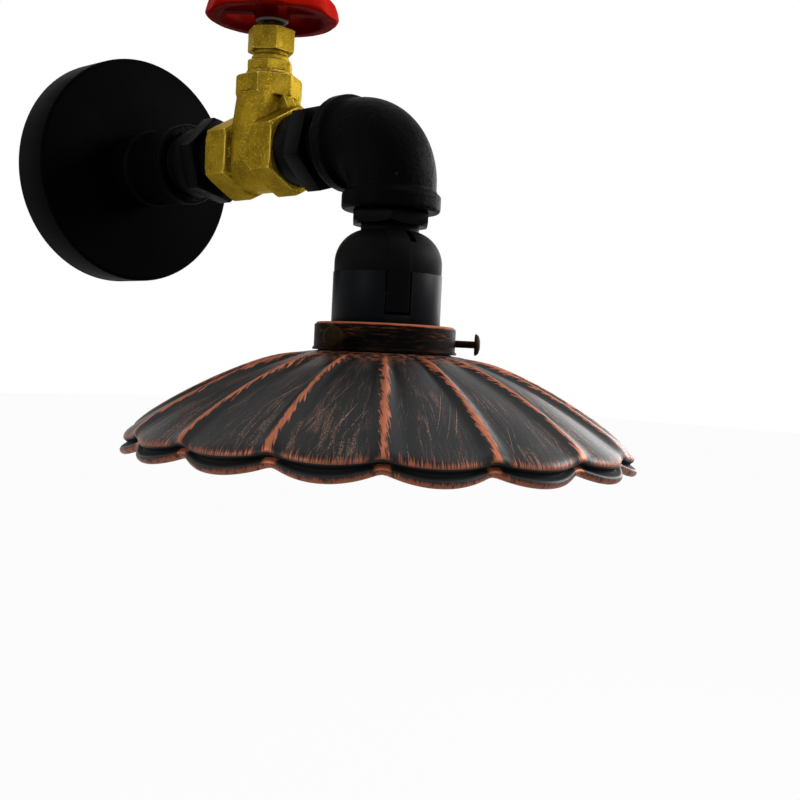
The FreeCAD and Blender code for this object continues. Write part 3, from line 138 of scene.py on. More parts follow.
class Finish:
    """The nodes of one material or of the world."""

    def __init__(self, owner):
        owner.use_nodes = True
        self.owner = owner
        self.tree = owner.node_tree

    def add(self, kind, settings, sockets, output=0):
        """Any node: its settings first, then the values or links of its sockets."""
        node = self.tree.nodes.new(kind)
        for name, value in settings.items():
            setattr(node, name, value)
        for name, value in sockets.items():
            self.feed(node.inputs[name], value)
        return Signal(self, node.outputs[output])

    def feed(self, socket, value):
        if isinstance(value, Signal):
            self.tree.links.new(value.socket, socket)
        else:
            socket.default_value = value

    def blend(self, share, first, second):
        """Colour that goes from the first to the second as share goes from 0 to 1."""
        return self.add("ShaderNodeMix", {"data_type": "RGBA"}, {0: share, 6: first, 7: second}, 2)

    def rise(self, value, low, high):
        """0 below low and 1 above high, with a smooth step between them."""
        sockets = {"Value": value, "From Min": low, "From Max": high}
        return self.add("ShaderNodeMapRange", {"interpolation_type": "SMOOTHSTEP"}, sockets)

    def noise(self, place, cells, detail=4.0, roughness=0.5):
        """Noise around 0.5, with so many cells to one unit of the place."""
        sockets = {"Vector": place, "Scale": cells, "Detail": detail, "Roughness": roughness}
        return self.add("ShaderNodeTexNoise", {}, sockets)

    def point(self, x, y, z):
        return self.add("ShaderNodeCombineXYZ", {}, {0: x, 1: y, 2: z})

    def axes(self, place):
        """The three numbers of a place or a direction."""
        return [self.add("ShaderNodeSeparateXYZ", {}, {0: place}, axis) for axis in range(3)]


surround_grey = (0.18, 0.18, 0.19, 1)
studio_white = (1, 1, 1, 1)
world = bpy.data.worlds.new("studio")
bpy.context.scene.world = world
surround = Finish(world)


def seen_directly(finish):
    """1 for the camera, reflections and clear glass, 0 for the light that falls on the lamp."""
    to_camera, mirrored, through_glass = [finish.add("ShaderNodeLightPath", {}, {}, "Is " + kind + " Ray")
                                          for kind in ("Camera", "Glossy", "Transmission")]
    return to_camera.at_least(mirrored).at_least(through_glass)


surround.feed(surround.tree.nodes["Background"].inputs["Color"],
              surround.blend(seen_directly(surround), surround_grey, studio_white))

floor_height = -0.42
floor_size = 14
floor_grey = (0.36, 0.36, 0.36, 1)
floor_roughness = 0.9
floor_gloss = 0.1
floor_whiteness = 0.97
bpy.ops.mesh.primitive_plane_add(size=floor_size, location=(0, 0, floor_height))
floor = bpy.context.object
floor.name = "floor"
floor_finish = Finish(bpy.data.materials.new("pale_floor"))
matt = floor_finish.tree.nodes["Principled BSDF"]
matt.inputs["Base Color"].default_value = floor_grey
matt.inputs["Roughness"].default_value = floor_roughness
matt.inputs["Specular IOR Level"].default_value = floor_gloss
glow = floor_finish.add("ShaderNodeEmission", {}, {"Color": studio_white, "Strength": 1.0})
shown = floor_finish.add("ShaderNodeMixShader", {}, {0: seen_directly(floor_finish) * floor_whiteness,
                                                     1: Signal(floor_finish, matt.outputs[0]), 2: glow})
floor_finish.feed(floor_finish.tree.nodes["Material Output"].inputs["Surface"], shown)
floor.data.materials.append(floor_finish.owner)

lamp_centre = (cad_box[0] + cad_box[1]) / 2


def soft_lamp(name, offset, size, watts):
    """A square studio lamp that points at the object."""
    place = lamp_centre + Vector(offset)
    turn = (lamp_centre - place).to_track_quat("-Z", "Y").to_euler()
    bpy.ops.object.light_add(type="AREA", location=place, rotation=turn)
    lamp = bpy.context.object
    lamp.name = name
    lamp.data.size = size
    lamp.data.energy = watts


soft_lamp("lamp_right", offset=(0.75, -0.50, 0.35), size=0.35, watts=7.5)
soft_lamp("lamp_far_right", offset=(0.95, 0.10, 0.15), size=0.45, watts=3.4)
soft_lamp("lamp_front", offset=(0.05, -0.95, 0.45), size=0.6, watts=1.3)
soft_lamp("lamp_left", offset=(-0.90, 0.05, 0.25), size=0.4, watts=2.1)
soft_lamp("lamp_above", offset=(0.15, -0.30, 0.95), size=0.5, watts=1.5)

# Steel wall plate
# A pressed cup in satin black powder coat, with a rounded front edge.
# Two side screws hold it to the strap on the wall.
coat_black = (0.0012, 0.0012, 0.0013, 1)
coat_depth = 0.00006
plate_edge = 0.0002
merge_distance = 1e-6
flat_angle = 0.5
edge_angle = 28
crisp_angle = 35


def material(name, colour, roughness, metallic=0.0, gloss=0.5):
    """A finish whose shader starts from plain values."""
    finish = Finish(bpy.data.materials.new(name))
    shader = finish.tree.nodes["Principled BSDF"]
    shader.inputs["Base Color"].default_value = colour
    shader.inputs["Roughness"].default_value = roughness
    shader.inputs["Metallic"].default_value = metallic
    shader.inputs["Specular IOR Level"].default_value = gloss
    finish.shader = shader
    finish.place = finish.add("ShaderNodeTexCoord", {}, {}, "Object")
    return finish


def dull(finish, roughness):
    finish.feed(finish.shader.inputs["Roughness"], roughness)


def bump(finish, height, depth):
    """Surface relief, with its depth in metres."""
    sockets = {"Height": height, "Distance": depth, "Strength": 1.0}
    finish.feed(finish.shader.inputs["Normal"], finish.add("ShaderNodeBump", {}, sockets))


def open_copy(node, name):
    """A copy of a CAD node, with its loose triangles joined, open for editing."""
    bpy.ops.object.select_all(action="DESELECT")
    piece = bpy.data.objects.new(name, frame["nodes"][node].data.copy())
    bpy.context.scene.collection.objects.link(piece)
    bpy.context.view_layer.objects.active = piece
    piece.select_set(True)
    bpy.ops.object.mode_set(mode="EDIT")
    bpy.ops.mesh.select_all(action="SELECT")
    bpy.ops.mesh.customdata_custom_splitnormals_clear()
    bpy.ops.mesh.remove_doubles(threshold=merge_distance)
    return piece


def apply_all(piece):
    bpy.ops.object.mode_set(mode="OBJECT")
    for modifier in list(piece.modifiers):
        bpy.ops.object.modifier_apply(modifier=modifier.name)


def place_piece(piece, node, finish, smooth):
    """Finish a piece that stands for a CAD node: its paint, its shading and its body."""
    piece.data.materials.clear()
    piece.data.materials.append(finish.owner)
    bpy.ops.object.shade_smooth_by_angle(angle=math.radians(smooth))
    body = frame["nodes"][node]["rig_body"]
    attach(piece, body)
    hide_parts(node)


def eased_copy(node, name, edge, finish):
    """A CAD node's shape with its sharp edges eased by a small round."""
    piece = open_copy(node, name)
    bpy.ops.mesh.dissolve_limited(angle_limit=math.radians(flat_angle))
    ease = piece.modifiers.new("ease", "BEVEL")
    ease.limit_method = "ANGLE"
    ease.angle_limit = math.radians(edge_angle)
    ease.width = edge
    ease.segments = 2
    apply_all(piece)
    place_piece(piece, node, finish, crisp_angle)


plate_paint = material("satin_black_coat", coat_black, 0.5, gloss=0.006)
grain = plate_paint.noise(plate_paint.place, 900.0, 3.0)
patches = plate_paint.noise(plate_paint.place, 26.0, 3.0)
dull(plate_paint, 0.42 + 0.14 * patches)
bump(plate_paint, grain, coat_depth)
eased_copy("canopy_cup", "wall_plate", plate_edge, plate_paint)

# Strap, screws and terminals behind the plate
# Zinc-plated strap and nuts, black side screws, brass clamps in a white nylon block.
# The strap is screwed to the wall first; the plate hides all of it.
zinc_grey = (0.62, 0.63, 0.64, 1)
zinc_dark = (0.42, 0.43, 0.44, 1)
zinc_light = (0.66, 0.67, 0.67, 1)


def paint(finish, colour):
    finish.feed(finish.shader.inputs["Base Color"], colour)


def cover(nodes, finish):
    """Give CAD nodes that keep their own shape a finish."""
    for node in nodes:
        mesh = frame["nodes"][node].data
        mesh.materials.clear()
        mesh.materials.append(finish.owner)


zinc_steel = material("zinc_plate", zinc_grey, 0.34, metallic=1.0)
spangle = zinc_steel.noise(zinc_steel.place, 160.0, 3.0)
paint(zinc_steel, zinc_steel.blend(spangle, zinc_dark, zinc_light))
dull(zinc_steel, 0.26 + 0.2 * spangle)
cover(["wall_bracket", "canopy_lock_washer", "canopy_lock_nut", "canopy_stud", "lamp_tube",
       "terminal_block_screw", "terminal_clamp_screws", "terminal_post_screws", "centre_contact_pin",
       "cap_grub_screw"], zinc_steel)

blacked = (0.010, 0.010, 0.011, 1)
black_screw = material("blacked_steel", blacked, 0.4, metallic=0.6, gloss=0.2)
dull(black_screw, 0.3 + 0.25 * black_screw.noise(black_screw.place, 700.0))
cover(["canopy_side_screws"], black_screw)

tin_grey = (0.70, 0.67, 0.60, 1)
tinned_brass = material("tinned_brass", tin_grey, 0.3, metallic=1.0)
dull(tinned_brass, 0.22 + 0.25 * tinned_brass.noise(tinned_brass.place, 400.0))
cover(["earth_tag"], tinned_brass)

nylon_white = (0.78, 0.77, 0.73, 1)
nylon_shade = (0.72, 0.71, 0.66, 1)
nylon_light = (0.82, 0.81, 0.78, 1)
block_nylon = material("white_nylon", nylon_white, 0.45)
paint(block_nylon, block_nylon.blend(block_nylon.noise(block_nylon.place, 120.0), nylon_shade, nylon_light))
cover(["terminal_block"], block_nylon)

clamp_yellow = (0.70, 0.50, 0.18, 1)
bright_brass = material("turned_brass", clamp_yellow, 0.28, metallic=1.0)
dull(bright_brass, 0.2 + 0.25 * bright_brass.noise(bright_brass.place, 500.0))
cover(["terminal_clamps", "bracket_earth_screw", "terminal_posts"], bright_brass)

# Painted pipe fittings
# Malleable iron socket, nipples, lock rings, elbow and bushing, cast or turned and painted satin black.
# They screw together on a 26.4 mm pipe thread; threads show beside the lock rings.
iron_black = (0.0010, 0.0010, 0.0011, 1)
paint_black = (0.0009, 0.0009, 0.0010, 1)
worn_and_highlight_grey = (0.016, 0.015, 0.016, 1)
scuffed_grey = (0.018, 0.017, 0.018, 1)
fitting_grain = 0.0005
fitting_edge = 0.0003
skin_depth = 0.0006
scuff_depth = 0.0002
cast_angle = 60


def pointiness(finish):
    """About 0.5 on flat ground, less in hollows and more on edges."""
    return finish.add("ShaderNodeNewGeometry", {}, {}, "Pointiness")


def cast_copy(node, name, grain, rounds, finish):
    """A CAD node's shape with the soft corners of a casting."""
    piece = open_copy(node, name)
    cast = piece.modifiers.new("cast", "REMESH")
    cast.mode = "VOXEL"
    cast.voxel_size = grain
    soft = piece.modifiers.new("soft corners", "SMOOTH")
    soft.factor = 0.5
    soft.iterations = rounds
    apply_all(piece)
    place_piece(piece, node, finish, cast_angle)


pipe_paint = material("painted_iron", iron_black, 0.40, gloss=0.015)
cast_skin = pipe_paint.noise(pipe_paint.place, 420.0, 5.0, 0.6)
waves = pipe_paint.noise(pipe_paint.place, 90.0, 3.0)
chips = pipe_paint.rise(pipe_paint.noise(pipe_paint.place, 700.0, 5.0, 0.7), 0.74, 0.80)
# Edges and chips turn a lighter grey: partly rubbed paint, partly a painted highlight on the edges.
rubbed_and_highlit_edges = pipe_paint.rise(pointiness(pipe_paint) + (cast_skin - 0.5) * 0.06, 0.53, 0.57)
paint(pipe_paint, pipe_paint.blend((rubbed_and_highlit_edges * 0.7).at_least(chips * 0.5), paint_black, worn_and_highlight_grey))
dull(pipe_paint, 0.34 + 0.22 * waves)
bump(pipe_paint, cast_skin * 0.7 + waves, skin_depth)
for node, rounds in (("pipe_elbow", 6), ("pipe_socket", 5)):
    cast_copy(node, "cast_" + node, fitting_grain, rounds, pipe_paint)

turned_paint = material("painted_nipples", iron_black, 0.38, gloss=0.025)
scuffs = turned_paint.noise(turned_paint.place, 260.0, 5.0, 0.65)
specks = turned_paint.rise(turned_paint.noise(turned_paint.place, 900.0, 4.0, 0.7), 0.64, 0.72)
paint(turned_paint, turned_paint.blend(specks, paint_black, scuffed_grey))
dull(turned_paint, 0.28 + 0.3 * scuffs)
bump(turned_paint, scuffs, scuff_depth)
for node in ("wall_lock_ring", "lamp_lock_ring", "wall_nipple", "lamp_nipple", "hex_bushing"):
    eased_copy(node, "painted_" + node, fitting_edge, turned_paint)
cover(["socket_plug"], turned_paint)

# Brass gate valve
# Sand-cast yellow brass body with a turned bonnet and gland nut, left unpainted.
# A fibre gasket seals the bonnet, and graphite packing the stem.
brass_painted_shade = (0.045, 0.026, 0.001, 1)
brass_dull = (0.140, 0.088, 0.004, 1)
brass_face = (0.262, 0.168, 0.010, 1)
brass_painted_highlight = (0.700, 0.520, 0.090, 1)
brass_glance = (1.0, 0.78, 0.30, 1)
body_grain = 0.0004
turned_grain = 0.00028
sand_depth = 0.0010
valve_brass = material("cast_brass", brass_face, 0.36, metallic=0.85, gloss=0.2)
valve_brass.shader.inputs["Specular Tint"].default_value = brass_glance
pits = valve_brass.noise(valve_brass.place, 1900.0, 4.0, 0.65)
blotches = valve_brass.noise(valve_brass.place, 110.0, 4.0, 0.6)
corners = pointiness(valve_brass) + (pits - 0.5) * 0.05
fresh = valve_brass.rise(blotches + (pits - 0.5) * 0.6, 0.30, 0.68)
# Bright grains are painted glints, hollows are darkened as painted shade, and edges are lightened as painted
# highlights.
painted_glints = valve_brass.rise(pits, 0.56, 0.68) * 0.6
painted_hollow_shade = (1 - valve_brass.rise(corners, 0.462, 0.497)) * 0.85
painted_edge_highlight = valve_brass.rise(corners, 0.515, 0.550) * 0.8
tone = valve_brass.blend(fresh, brass_dull, brass_face)
tone = valve_brass.blend(painted_glints, tone, brass_painted_highlight)
tone = valve_brass.blend(painted_hollow_shade, tone, brass_painted_shade)
tone = valve_brass.blend(painted_edge_highlight, tone, brass_painted_highlight)
paint(valve_brass, tone)
dull(valve_brass, 0.28 + 0.16 * pits)
bump(valve_brass, pits * 0.5 + blotches * 0.6, sand_depth)
cast_copy("valve_body", "cast_valve_body", body_grain, 4, valve_brass)
for node in ("valve_bonnet", "gland_nut"):
    cast_copy(node, "turned_" + node, turned_grain, 3, valve_brass)

stem_dark = (0.08, 0.046, 0.004, 1)
stem_light = (0.22, 0.14, 0.02, 1)
stem_edge = 0.0002
turned_brass = material("turned_valve_brass", brass_face, 0.36, metallic=0.85, gloss=0.2)
tool_marks = turned_brass.noise(turned_brass.place, 520.0, 4.0, 0.6)
paint(turned_brass, turned_brass.blend(tool_marks, stem_dark, stem_light))
dull(turned_brass, 0.28 + 0.25 * tool_marks)
for node in ("valve_stem", "gland_follower"):
    eased_copy(node, "turned_" + node, stem_edge, turned_brass)

fibre_red = (0.25, 0.07, 0.04, 1)
fibre_dark = (0.16, 0.05, 0.03, 1)
fibre_light = (0.30, 0.10, 0.06, 1)
fibre = material("red_fibre", fibre_red, 0.8, gloss=0.2)
paint(fibre, fibre.blend(fibre.noise(fibre.place, 600.0), fibre_dark, fibre_light))
cover(["bonnet_gasket"], fibre)

graphite = (0.03, 0.03, 0.03, 1)
packing = material("graphite_packing", graphite, 0.6)
dull(packing, 0.45 + 0.3 * packing.noise(packing.place, 900.0))
cover(["gland_packing"], packing)

# Handwheel
# Cast iron wheel with eight lobes and four spokes, in red enamel; its hub is faced bare underneath.
# It sits on the stem's square under a washer and a nut, both zinc plated.
enamel_red = (0.42, 0.010, 0.006, 1)
enamel_deep = (0.34, 0.006, 0.002, 1)
enamel_bright = (0.50, 0.010, 0.004, 1)
enamel_painted_shade = (0.08, 0.002, 0.001, 1)
chip_black = (0.018, 0.014, 0.013, 1)
hub_rust = (0.020, 0.012, 0.008, 1)
hub_iron = (0.36, 0.36, 0.38, 1)
inner_rim = (0.0228, 0.0240)
bare_from = (0.0046, 0.0056)
faced_height = (0.0004, 0.0008)
wheel_grain = 0.0005
enamel_depth = 0.0004
nut_edge = 0.00015


def facing(finish):
    """The three numbers of the direction that a surface faces."""
    return finish.axes(finish.add("ShaderNodeNewGeometry", {}, {}, "True Normal"))


wheel_paint = material("red_enamel", enamel_red, 0.35, gloss=0.003)
mottle = wheel_paint.noise(wheel_paint.place, 160.0, 4.0, 0.6)
speckle = wheel_paint.noise(wheel_paint.place, 620.0, 4.0, 0.7)
corners = pointiness(wheel_paint)
wheel_from, wheel_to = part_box("handwheel")
x, y, z = wheel_paint.axes(wheel_paint.place)
across = x - (wheel_from.x + wheel_to.x) / 2
along = y - (wheel_from.y + wheel_to.y) / 2
from_stem = (across * across + along * along) ** 0.5
above_foot = z - wheel_from.z
# Painted shade: the inside of the rim, the creases and the faces that look down are darkened to maroon.
painted_inner_shade = 1 - wheel_paint.rise(from_stem + (mottle - 0.5) * 0.001, *inner_rim)
painted_crease_shade = 1 - wheel_paint.rise(corners + (mottle - 0.5) * 0.06, 0.450, 0.495)
painted_underside_shade = 1 - wheel_paint.rise(facing(wheel_paint)[2] + (mottle - 0.5) * 0.3, -0.95, -0.45)
shaded = (painted_inner_shade * 0.8).at_least(painted_crease_shade * 0.8).at_least(painted_underside_shade * 0.25)
chipped = wheel_paint.rise(corners + (speckle - 0.5) * 0.25, 0.60, 0.62)
faced = 1 - wheel_paint.rise(above_foot, *faced_height)
scraped = wheel_paint.rise(from_stem + (speckle - 0.5) * 0.002, *bare_from)
tone = wheel_paint.blend(mottle, enamel_deep, enamel_bright)
tone = wheel_paint.blend(shaded, tone, enamel_painted_shade)
tone = wheel_paint.blend(chipped, tone, chip_black)
tone = wheel_paint.blend(faced, tone, wheel_paint.blend(scraped, hub_rust, hub_iron))
paint(wheel_paint, tone)
dull(wheel_paint, 0.30 + 0.25 * mottle)
bump(wheel_paint, mottle, enamel_depth)
cast_copy("handwheel", "cast_handwheel", wheel_grain, 6, wheel_paint)
for node in ("wheel_nut", "wheel_washer"):
    eased_copy(node, "plated_" + node, nut_edge, zinc_steel)

# Lampholder
# Moulded black phenolic cap and skirt, with a ceramic core and a brass screw shell inside.
# The cap's lock tongues reach into rebates in the skirt.
cap_black = (0.0024, 0.0023, 0.0022, 1)
skirt_black = (0.0014, 0.0018, 0.0027, 1)
moulded_edge = 0.0002
cap_depth = 0.00004
skirt_depth = 0.00003
cap_plastic = material("moulded_cap", cap_black, 0.52, gloss=0.03)
dull(cap_plastic, 0.46 + 0.16 * cap_plastic.noise(cap_plastic.place, 60.0, 3.0))
bump(cap_plastic, cap_plastic.noise(cap_plastic.place, 1500.0, 2.0), cap_depth)
eased_copy("lampholder_cap", "moulded_lampholder_cap", moulded_edge, cap_plastic)

skirt_plastic = material("moulded_skirt", skirt_black, 0.40, gloss=0.04)
dull(skirt_plastic, 0.34 + 0.16 * skirt_plastic.noise(skirt_plastic.place, 60.0, 3.0))
bump(skirt_plastic, skirt_plastic.noise(skirt_plastic.place, 1500.0, 2.0), skirt_depth)
for node in ("lampholder_skirt", "clamp_ring"):
    eased_copy(node, "moulded_" + node, moulded_edge, skirt_plastic)

ceramic_white = (0.80, 0.79, 0.75, 1)
ceramic = material("glazed_ceramic", ceramic_white, 0.3)
dull(ceramic, 0.2 + 0.2 * ceramic.noise(ceramic.place, 200.0))
cover(["lampholder_insert"], ceramic)

shell_yellow = (0.72, 0.54, 0.24, 1)
shell_brass = material("pressed_brass", shell_yellow, 0.25, metallic=1.0)
dull(shell_brass, 0.18 + 0.2 * shell_brass.noise(shell_brass.place, 300.0))
cover(["screw_shell", "centre_contact"], shell_brass)

# Gallery and thumbscrews
# Spun steel cup in dark bronze with copper rubbed through in streaks round it.
# Three domed screws grip the shade's neck.
lamp_reach = -(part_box("hex_bushing")[0].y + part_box("hex_bushing")[1].y) / 2
bronze = (0.0030, 0.0027, 0.0026, 1)
brown = (0.040, 0.016, 0.008, 1)
old_copper = (0.200, 0.066, 0.028, 1)
copper = (0.50, 0.152, 0.072, 1)
gallery_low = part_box("gallery")[0].z
gallery_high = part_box("gallery")[1].z
upper_part = (gallery_low + 0.002, gallery_high - 0.001)
rubbed_lip = (gallery_high - 0.0010, gallery_high - 0.0004)
streak_depth = 0.0001
gallery_edge = 0.00025


def lamp_polar(finish):
    """Radius, turn and height about the lamp's axis."""
    x, y, z = finish.axes(finish.place)
    y = y + lamp_reach
    radius = (x * x + y * y) ** 0.5
    return radius, y.math("ARCTAN2", y, x), z


gallery_bronze = material("rubbed_gallery", bronze, 0.4, metallic=0.05, gloss=0.01)
radius, turn, height = lamp_polar(gallery_bronze)
fine = gallery_bronze.noise(gallery_bronze.point(turn * 3.0, height * 1300.0, radius * 60.0), 1.6, 5.0, 0.65)
broad = gallery_bronze.noise(gallery_bronze.point(turn * 1.5, height * 260.0, 4.0), 1.6, 3.0, 0.6)
streaks = gallery_bronze.rise(fine, 0.44, 0.56) * gallery_bronze.rise(broad, 0.34, 0.54)
bright_streaks = gallery_bronze.rise(fine + (broad - 0.5) * 0.4, 0.58, 0.66)
lit_upper_share = gallery_bronze.rise(height, *upper_part)
top_lip = gallery_bronze.rise(height + (fine - 0.5) * 0.001, *rubbed_lip)
# The cup gets fewer streaks low down, so its lower part is darker: painted shade.
tone = gallery_bronze.blend(streaks * (0.35 + 0.65 * lit_upper_share), bronze, brown)
tone = gallery_bronze.blend(bright_streaks * (0.15 + 0.45 * lit_upper_share), tone, old_copper)
tone = gallery_bronze.blend(top_lip * 0.9, tone, copper)
paint(gallery_bronze, tone)
dull(gallery_bronze, 0.34 + 0.25 * fine)
bump(gallery_bronze, fine, streak_depth)
eased_copy("gallery", "rubbed_gallery_cup", gallery_edge, gallery_bronze)

screw_brown = (0.03, 0.016, 0.008, 1)
screw_dark = (0.006, 0.004, 0.002, 1)
screw_light = (0.036, 0.020, 0.008, 1)
screw_edge = 0.00015
dark_brass = material("browned_brass", screw_brown, 0.5, metallic=0.1, gloss=0.01)
paint(dark_brass, dark_brass.blend(dark_brass.noise(dark_brass.place, 500.0), screw_dark, screw_light))
for node in ("thumbscrew_1", "thumbscrew_2", "thumbscrew_3"):
    eased_copy(node, "domed_" + node, screw_edge, dark_brass)

# Shade
# Pressed steel in dark bronze: sixteen flat flutes between raised ribs, ending in scallops.
# Its rim is a groove and a rolled bead. Copper is rubbed through on ribs, lower edges and bead.
flutes = 16
steps_per_flute = 12
half_flute = steps_per_flute // 2
crown_radius = 0.0270
crown_height = -0.0787
hem_radius = 0.09155
hem_height = -0.1168
panel_foot = -0.1130
groove_foot = -0.1148
skin_drop = 0.0316
skin_belly = 0.0160
notch_depth = 0.0055
notch_rise = 0.0036
panel_straightness = 0.4
rib_relief = [0.0023, 0.0006, -0.0004, 0.0000, 0.0001, 0.0002, 0.0002]
rib_growth = (0.0290, 0.0400)
notch_growth = (0.0700, 0.0890)
sheet = 0.0008
near = 0.00005
shade_angle = 50


def skin_height(radius):
    """Height of the shade's skin at a radius."""
    share = (radius - crown_radius) / (hem_radius - crown_radius)
    return crown_height - skin_drop * share + skin_belly * share * (1 - share)


# Radius and height of each row of corners, from the neck's lip to the bead, before ribs and scallops
neck_rows = [(0.0243, -0.0703), (0.0243, -0.0711), (0.0236, -0.0719), (0.0236, -0.0779),
             (0.0244, crown_height)]
skin_rows = [(radius, skin_height(radius)) for radius in (0.0268, 0.0295, 0.033, 0.038, 0.044, 0.051,
                                                         0.058, 0.065, 0.072, 0.079, 0.0845, 0.0880)]
edge_rows = [(0.0903, -0.1094), (0.0914, -0.1106), (0.0920, -0.1119), (0.0919, panel_foot)]
groove_rows = [(0.0908, -0.1136), (0.0903, -0.1142), (0.0906, groove_foot)]
bead_rows = [(0.0914, -0.1151), (0.0925, -0.1154), (0.0931, -0.1162), (0.0932, -0.1170),
             (0.0927, -0.1179), (0.0915, -0.1184), (0.0903, -0.1180), (0.0898, -0.1170)]
rows = neck_rows + skin_rows + edge_rows + groove_rows + bead_rows

bpy.ops.object.select_all(action="DESELECT")
bpy.ops.mesh.primitive_circle_add(vertices=flutes * steps_per_flute, radius=rows[0][0],
                                  location=(0, 0, rows[0][1]), rotation=(0, 0, math.radians(90)))
shade = bpy.context.object
shade.name = "fluted_shade"
bpy.ops.object.transform_apply(location=True, rotation=True, scale=True)
bpy.ops.object.mode_set(mode="EDIT")
bpy.ops.mesh.select_all(action="SELECT")
for (start, height), (end, next_height) in zip(rows, rows[1:]):
    bpy.ops.mesh.extrude_edges_move()
    bpy.ops.transform.translate(value=(0, 0, next_height - height))
    bpy.ops.transform.resize(value=(end / start, end / start, 1), center_override=(0, 0, 0))


def choose(test):
    """Select the corners of the open piece that pass a test on their place."""
    bpy.ops.mesh.select_mode(type="VERT")
    shape = bmesh.from_edit_mesh(bpy.context.edit_object.data)
    for corner in shape.verts:
        corner.select = bool(test(corner.co))
    shape.select_flush_mode()
    bmesh.update_edit_mesh(bpy.context.edit_object.data)


def column(place):
    """Steps from the nearest rib: 0 on it, half a flute's steps in the middle of a flute."""
    turn = math.degrees(math.atan2(place.y, place.x)) * flutes * steps_per_flute / 360
    step = round(turn) % steps_per_flute
    return min(step, steps_per_flute - step)


def ramp(value, low, high):
    """0 at low and 1 at high, straight between them and level outside."""
    return min(1.0, max(0.0, (value - low) / (high - low)))


# Ribs are drawn up from the skin and out of the edge, and the rim is drawn in and up between scallops
for group, upward, outward in ((skin_rows, 1.0, 0.2), (edge_rows, 0.3, 0.8), (groove_rows, 0.1, 1.1),
                               (bead_rows, 0.0, 0.3)):
    for radius, height in group:
        grown = ramp(radius, *rib_growth)
        hold = ramp(radius, *notch_growth) * (1 - panel_straightness * ramp(height, groove_foot, panel_foot))
        for across, relief in enumerate(rib_relief):
            notch = (1 - across / half_flute) ** 2 * hold
            reach = radius - notch_depth * notch + relief * outward * grown
            choose(lambda place: column(place) == across and abs(place.z - height) < near
                   and abs(math.hypot(place.x, place.y) - radius) < near)
            bpy.ops.transform.resize(value=(reach / radius, reach / radius, 1), center_override=(0, 0, 0))
            bpy.ops.transform.translate(value=(0, 0, relief * upward * grown + notch_rise * notch))
bpy.ops.mesh.select_all(action="SELECT")
bpy.ops.mesh.normals_make_consistent(inside=False)
bpy.ops.transform.translate(value=(0, -lamp_reach, 0))
bpy.ops.object.mode_set(mode="OBJECT")
wall = shade.modifiers.new("sheet", "SOLIDIFY")
wall.thickness = sheet
wall.offset = -1
rounding = shade.modifiers.new("rounding", "SUBSURF")
rounding.levels = 1
rounding.render_levels = 1
apply_all(shade)

shade_grey = (0.010, 0.009, 0.009, 1)
panel_dark = (0.0028, 0.0034, 0.0042, 1)
panel_light = (0.0100, 0.0110, 0.0124, 1)
painted_shade_black = (0.0012, 0.0012, 0.0012, 1)
rubbed_tan = (0.400, 0.220, 0.150, 1)

# Where each look fades in or out: metres from the rib, from the lamp's axis, or above the edge or hem
rib_band = (0.0006, 0.0014)
rib_start = (0.0290, 0.0380)
flank_band = (0.0022, 0.0055)
panel_from_rib = (0.0030, 0.0060)
lower_panel = (0.045, 0.070)
crown_band = (0.031, 0.042)
comb_band = (0.0004, 0.0026)
comb_from_rib = (0.0035, 0.0065)
skin_end = (-0.0004, 0.0002)
groove_top = (-0.0002, 0.0004)
groove_bottom = (0.0008, 0.0014)
bead_band = (-0.0006, 0.0006)
knob_band = (0.0014, 0.0030)
knob_top = (0.0030, 0.0050)

shade_bronze = material("rubbed_bronze", shade_grey, 0.4, metallic=0.15, gloss=0.20)
radius, turn, height = lamp_polar(shade_bronze)
along = turn * (flutes / (2 * math.pi))
nearest = along.math("FRACT", along + flutes + 0.5) - 0.5
side = nearest * radius * (2 * math.pi / flutes)
from_rib = abs(side)
toward_rib = abs(nearest) * -2 + 1
scallop = toward_rib * toward_rib * notch_rise
above_hem = height - (scallop + hem_height)
above_edge = height - (scallop * (1 - panel_straightness) + panel_foot)
outer = shade_bronze.rise(facing(shade_bronze)[2], -0.05, 0.10)
on_skin = shade_bronze.rise(above_edge, *skin_end)


def strokes(across, lengthwise, seed, detail=3.0):
    """Noise drawn out along a stroke: how many cells lie across it and along it."""
    return shade_bronze.noise(shade_bronze.point(across, lengthwise, seed), 1.0, detail, 0.6)


# Copper on the ribs, feathered at its sides, and in blotches round the crown
rib_number = along.math("FLOOR", along + 0.5)
feather = strokes((side - radius * 0.30) * 1700.0, (radius + side * 0.30) * 170.0, rib_number)
wear = strokes(turn * 5.0, radius * 60.0, 2.0)
rib_edge = from_rib + (feather - 0.5) * 0.0060 + (wear - 0.5) * 0.0036
started = shade_bronze.rise(radius + (feather - 0.5) * 0.012, *rib_start)
rib_copper = (1 - shade_bronze.rise(rib_edge, *rib_band)) * started
near_crown = 1 - shade_bronze.rise(radius + (feather - 0.5) * 0.010, *crown_band)
blotch = shade_bronze.rise(strokes(turn * 10.0, radius * 420.0, 6.0, 4.0), 0.47, 0.56)

# Scratches in three leans, a few long ones, and rows of flecks, more on some flutes than on others
panel_wear = strokes(along.math("FLOOR", along) * 7.3, 0.0, 4.0, 0.0)
groups = shade_bronze.rise(strokes(turn * 9.0, radius * 55.0, 5.0) + (panel_wear - 0.5) * 0.5, 0.42, 0.66)
on_panel = shade_bronze.rise(from_rib, *panel_from_rib)
broken = shade_bronze.rise(strokes(turn * 260.0, radius * 900.0, 0.0, 2.0), 0.38, 0.50)
scratches = 0.0
for lean, seed in ((1.4, 1.0), (-1.8, 21.0), (4.5, 31.0)):
    stroke = strokes((turn + radius * lean) * 200.0, radius * 60.0, seed, 2.0)
    scratches = (shade_bronze.rise(stroke, 0.635, 0.68) * broken).at_least(scratches)
scratches = scratches * on_panel * (0.20 + 0.60 * groups)
long_scratch = strokes((turn + radius * 5.0) * 95.0, radius * 22.0, 41.0, 2.0)
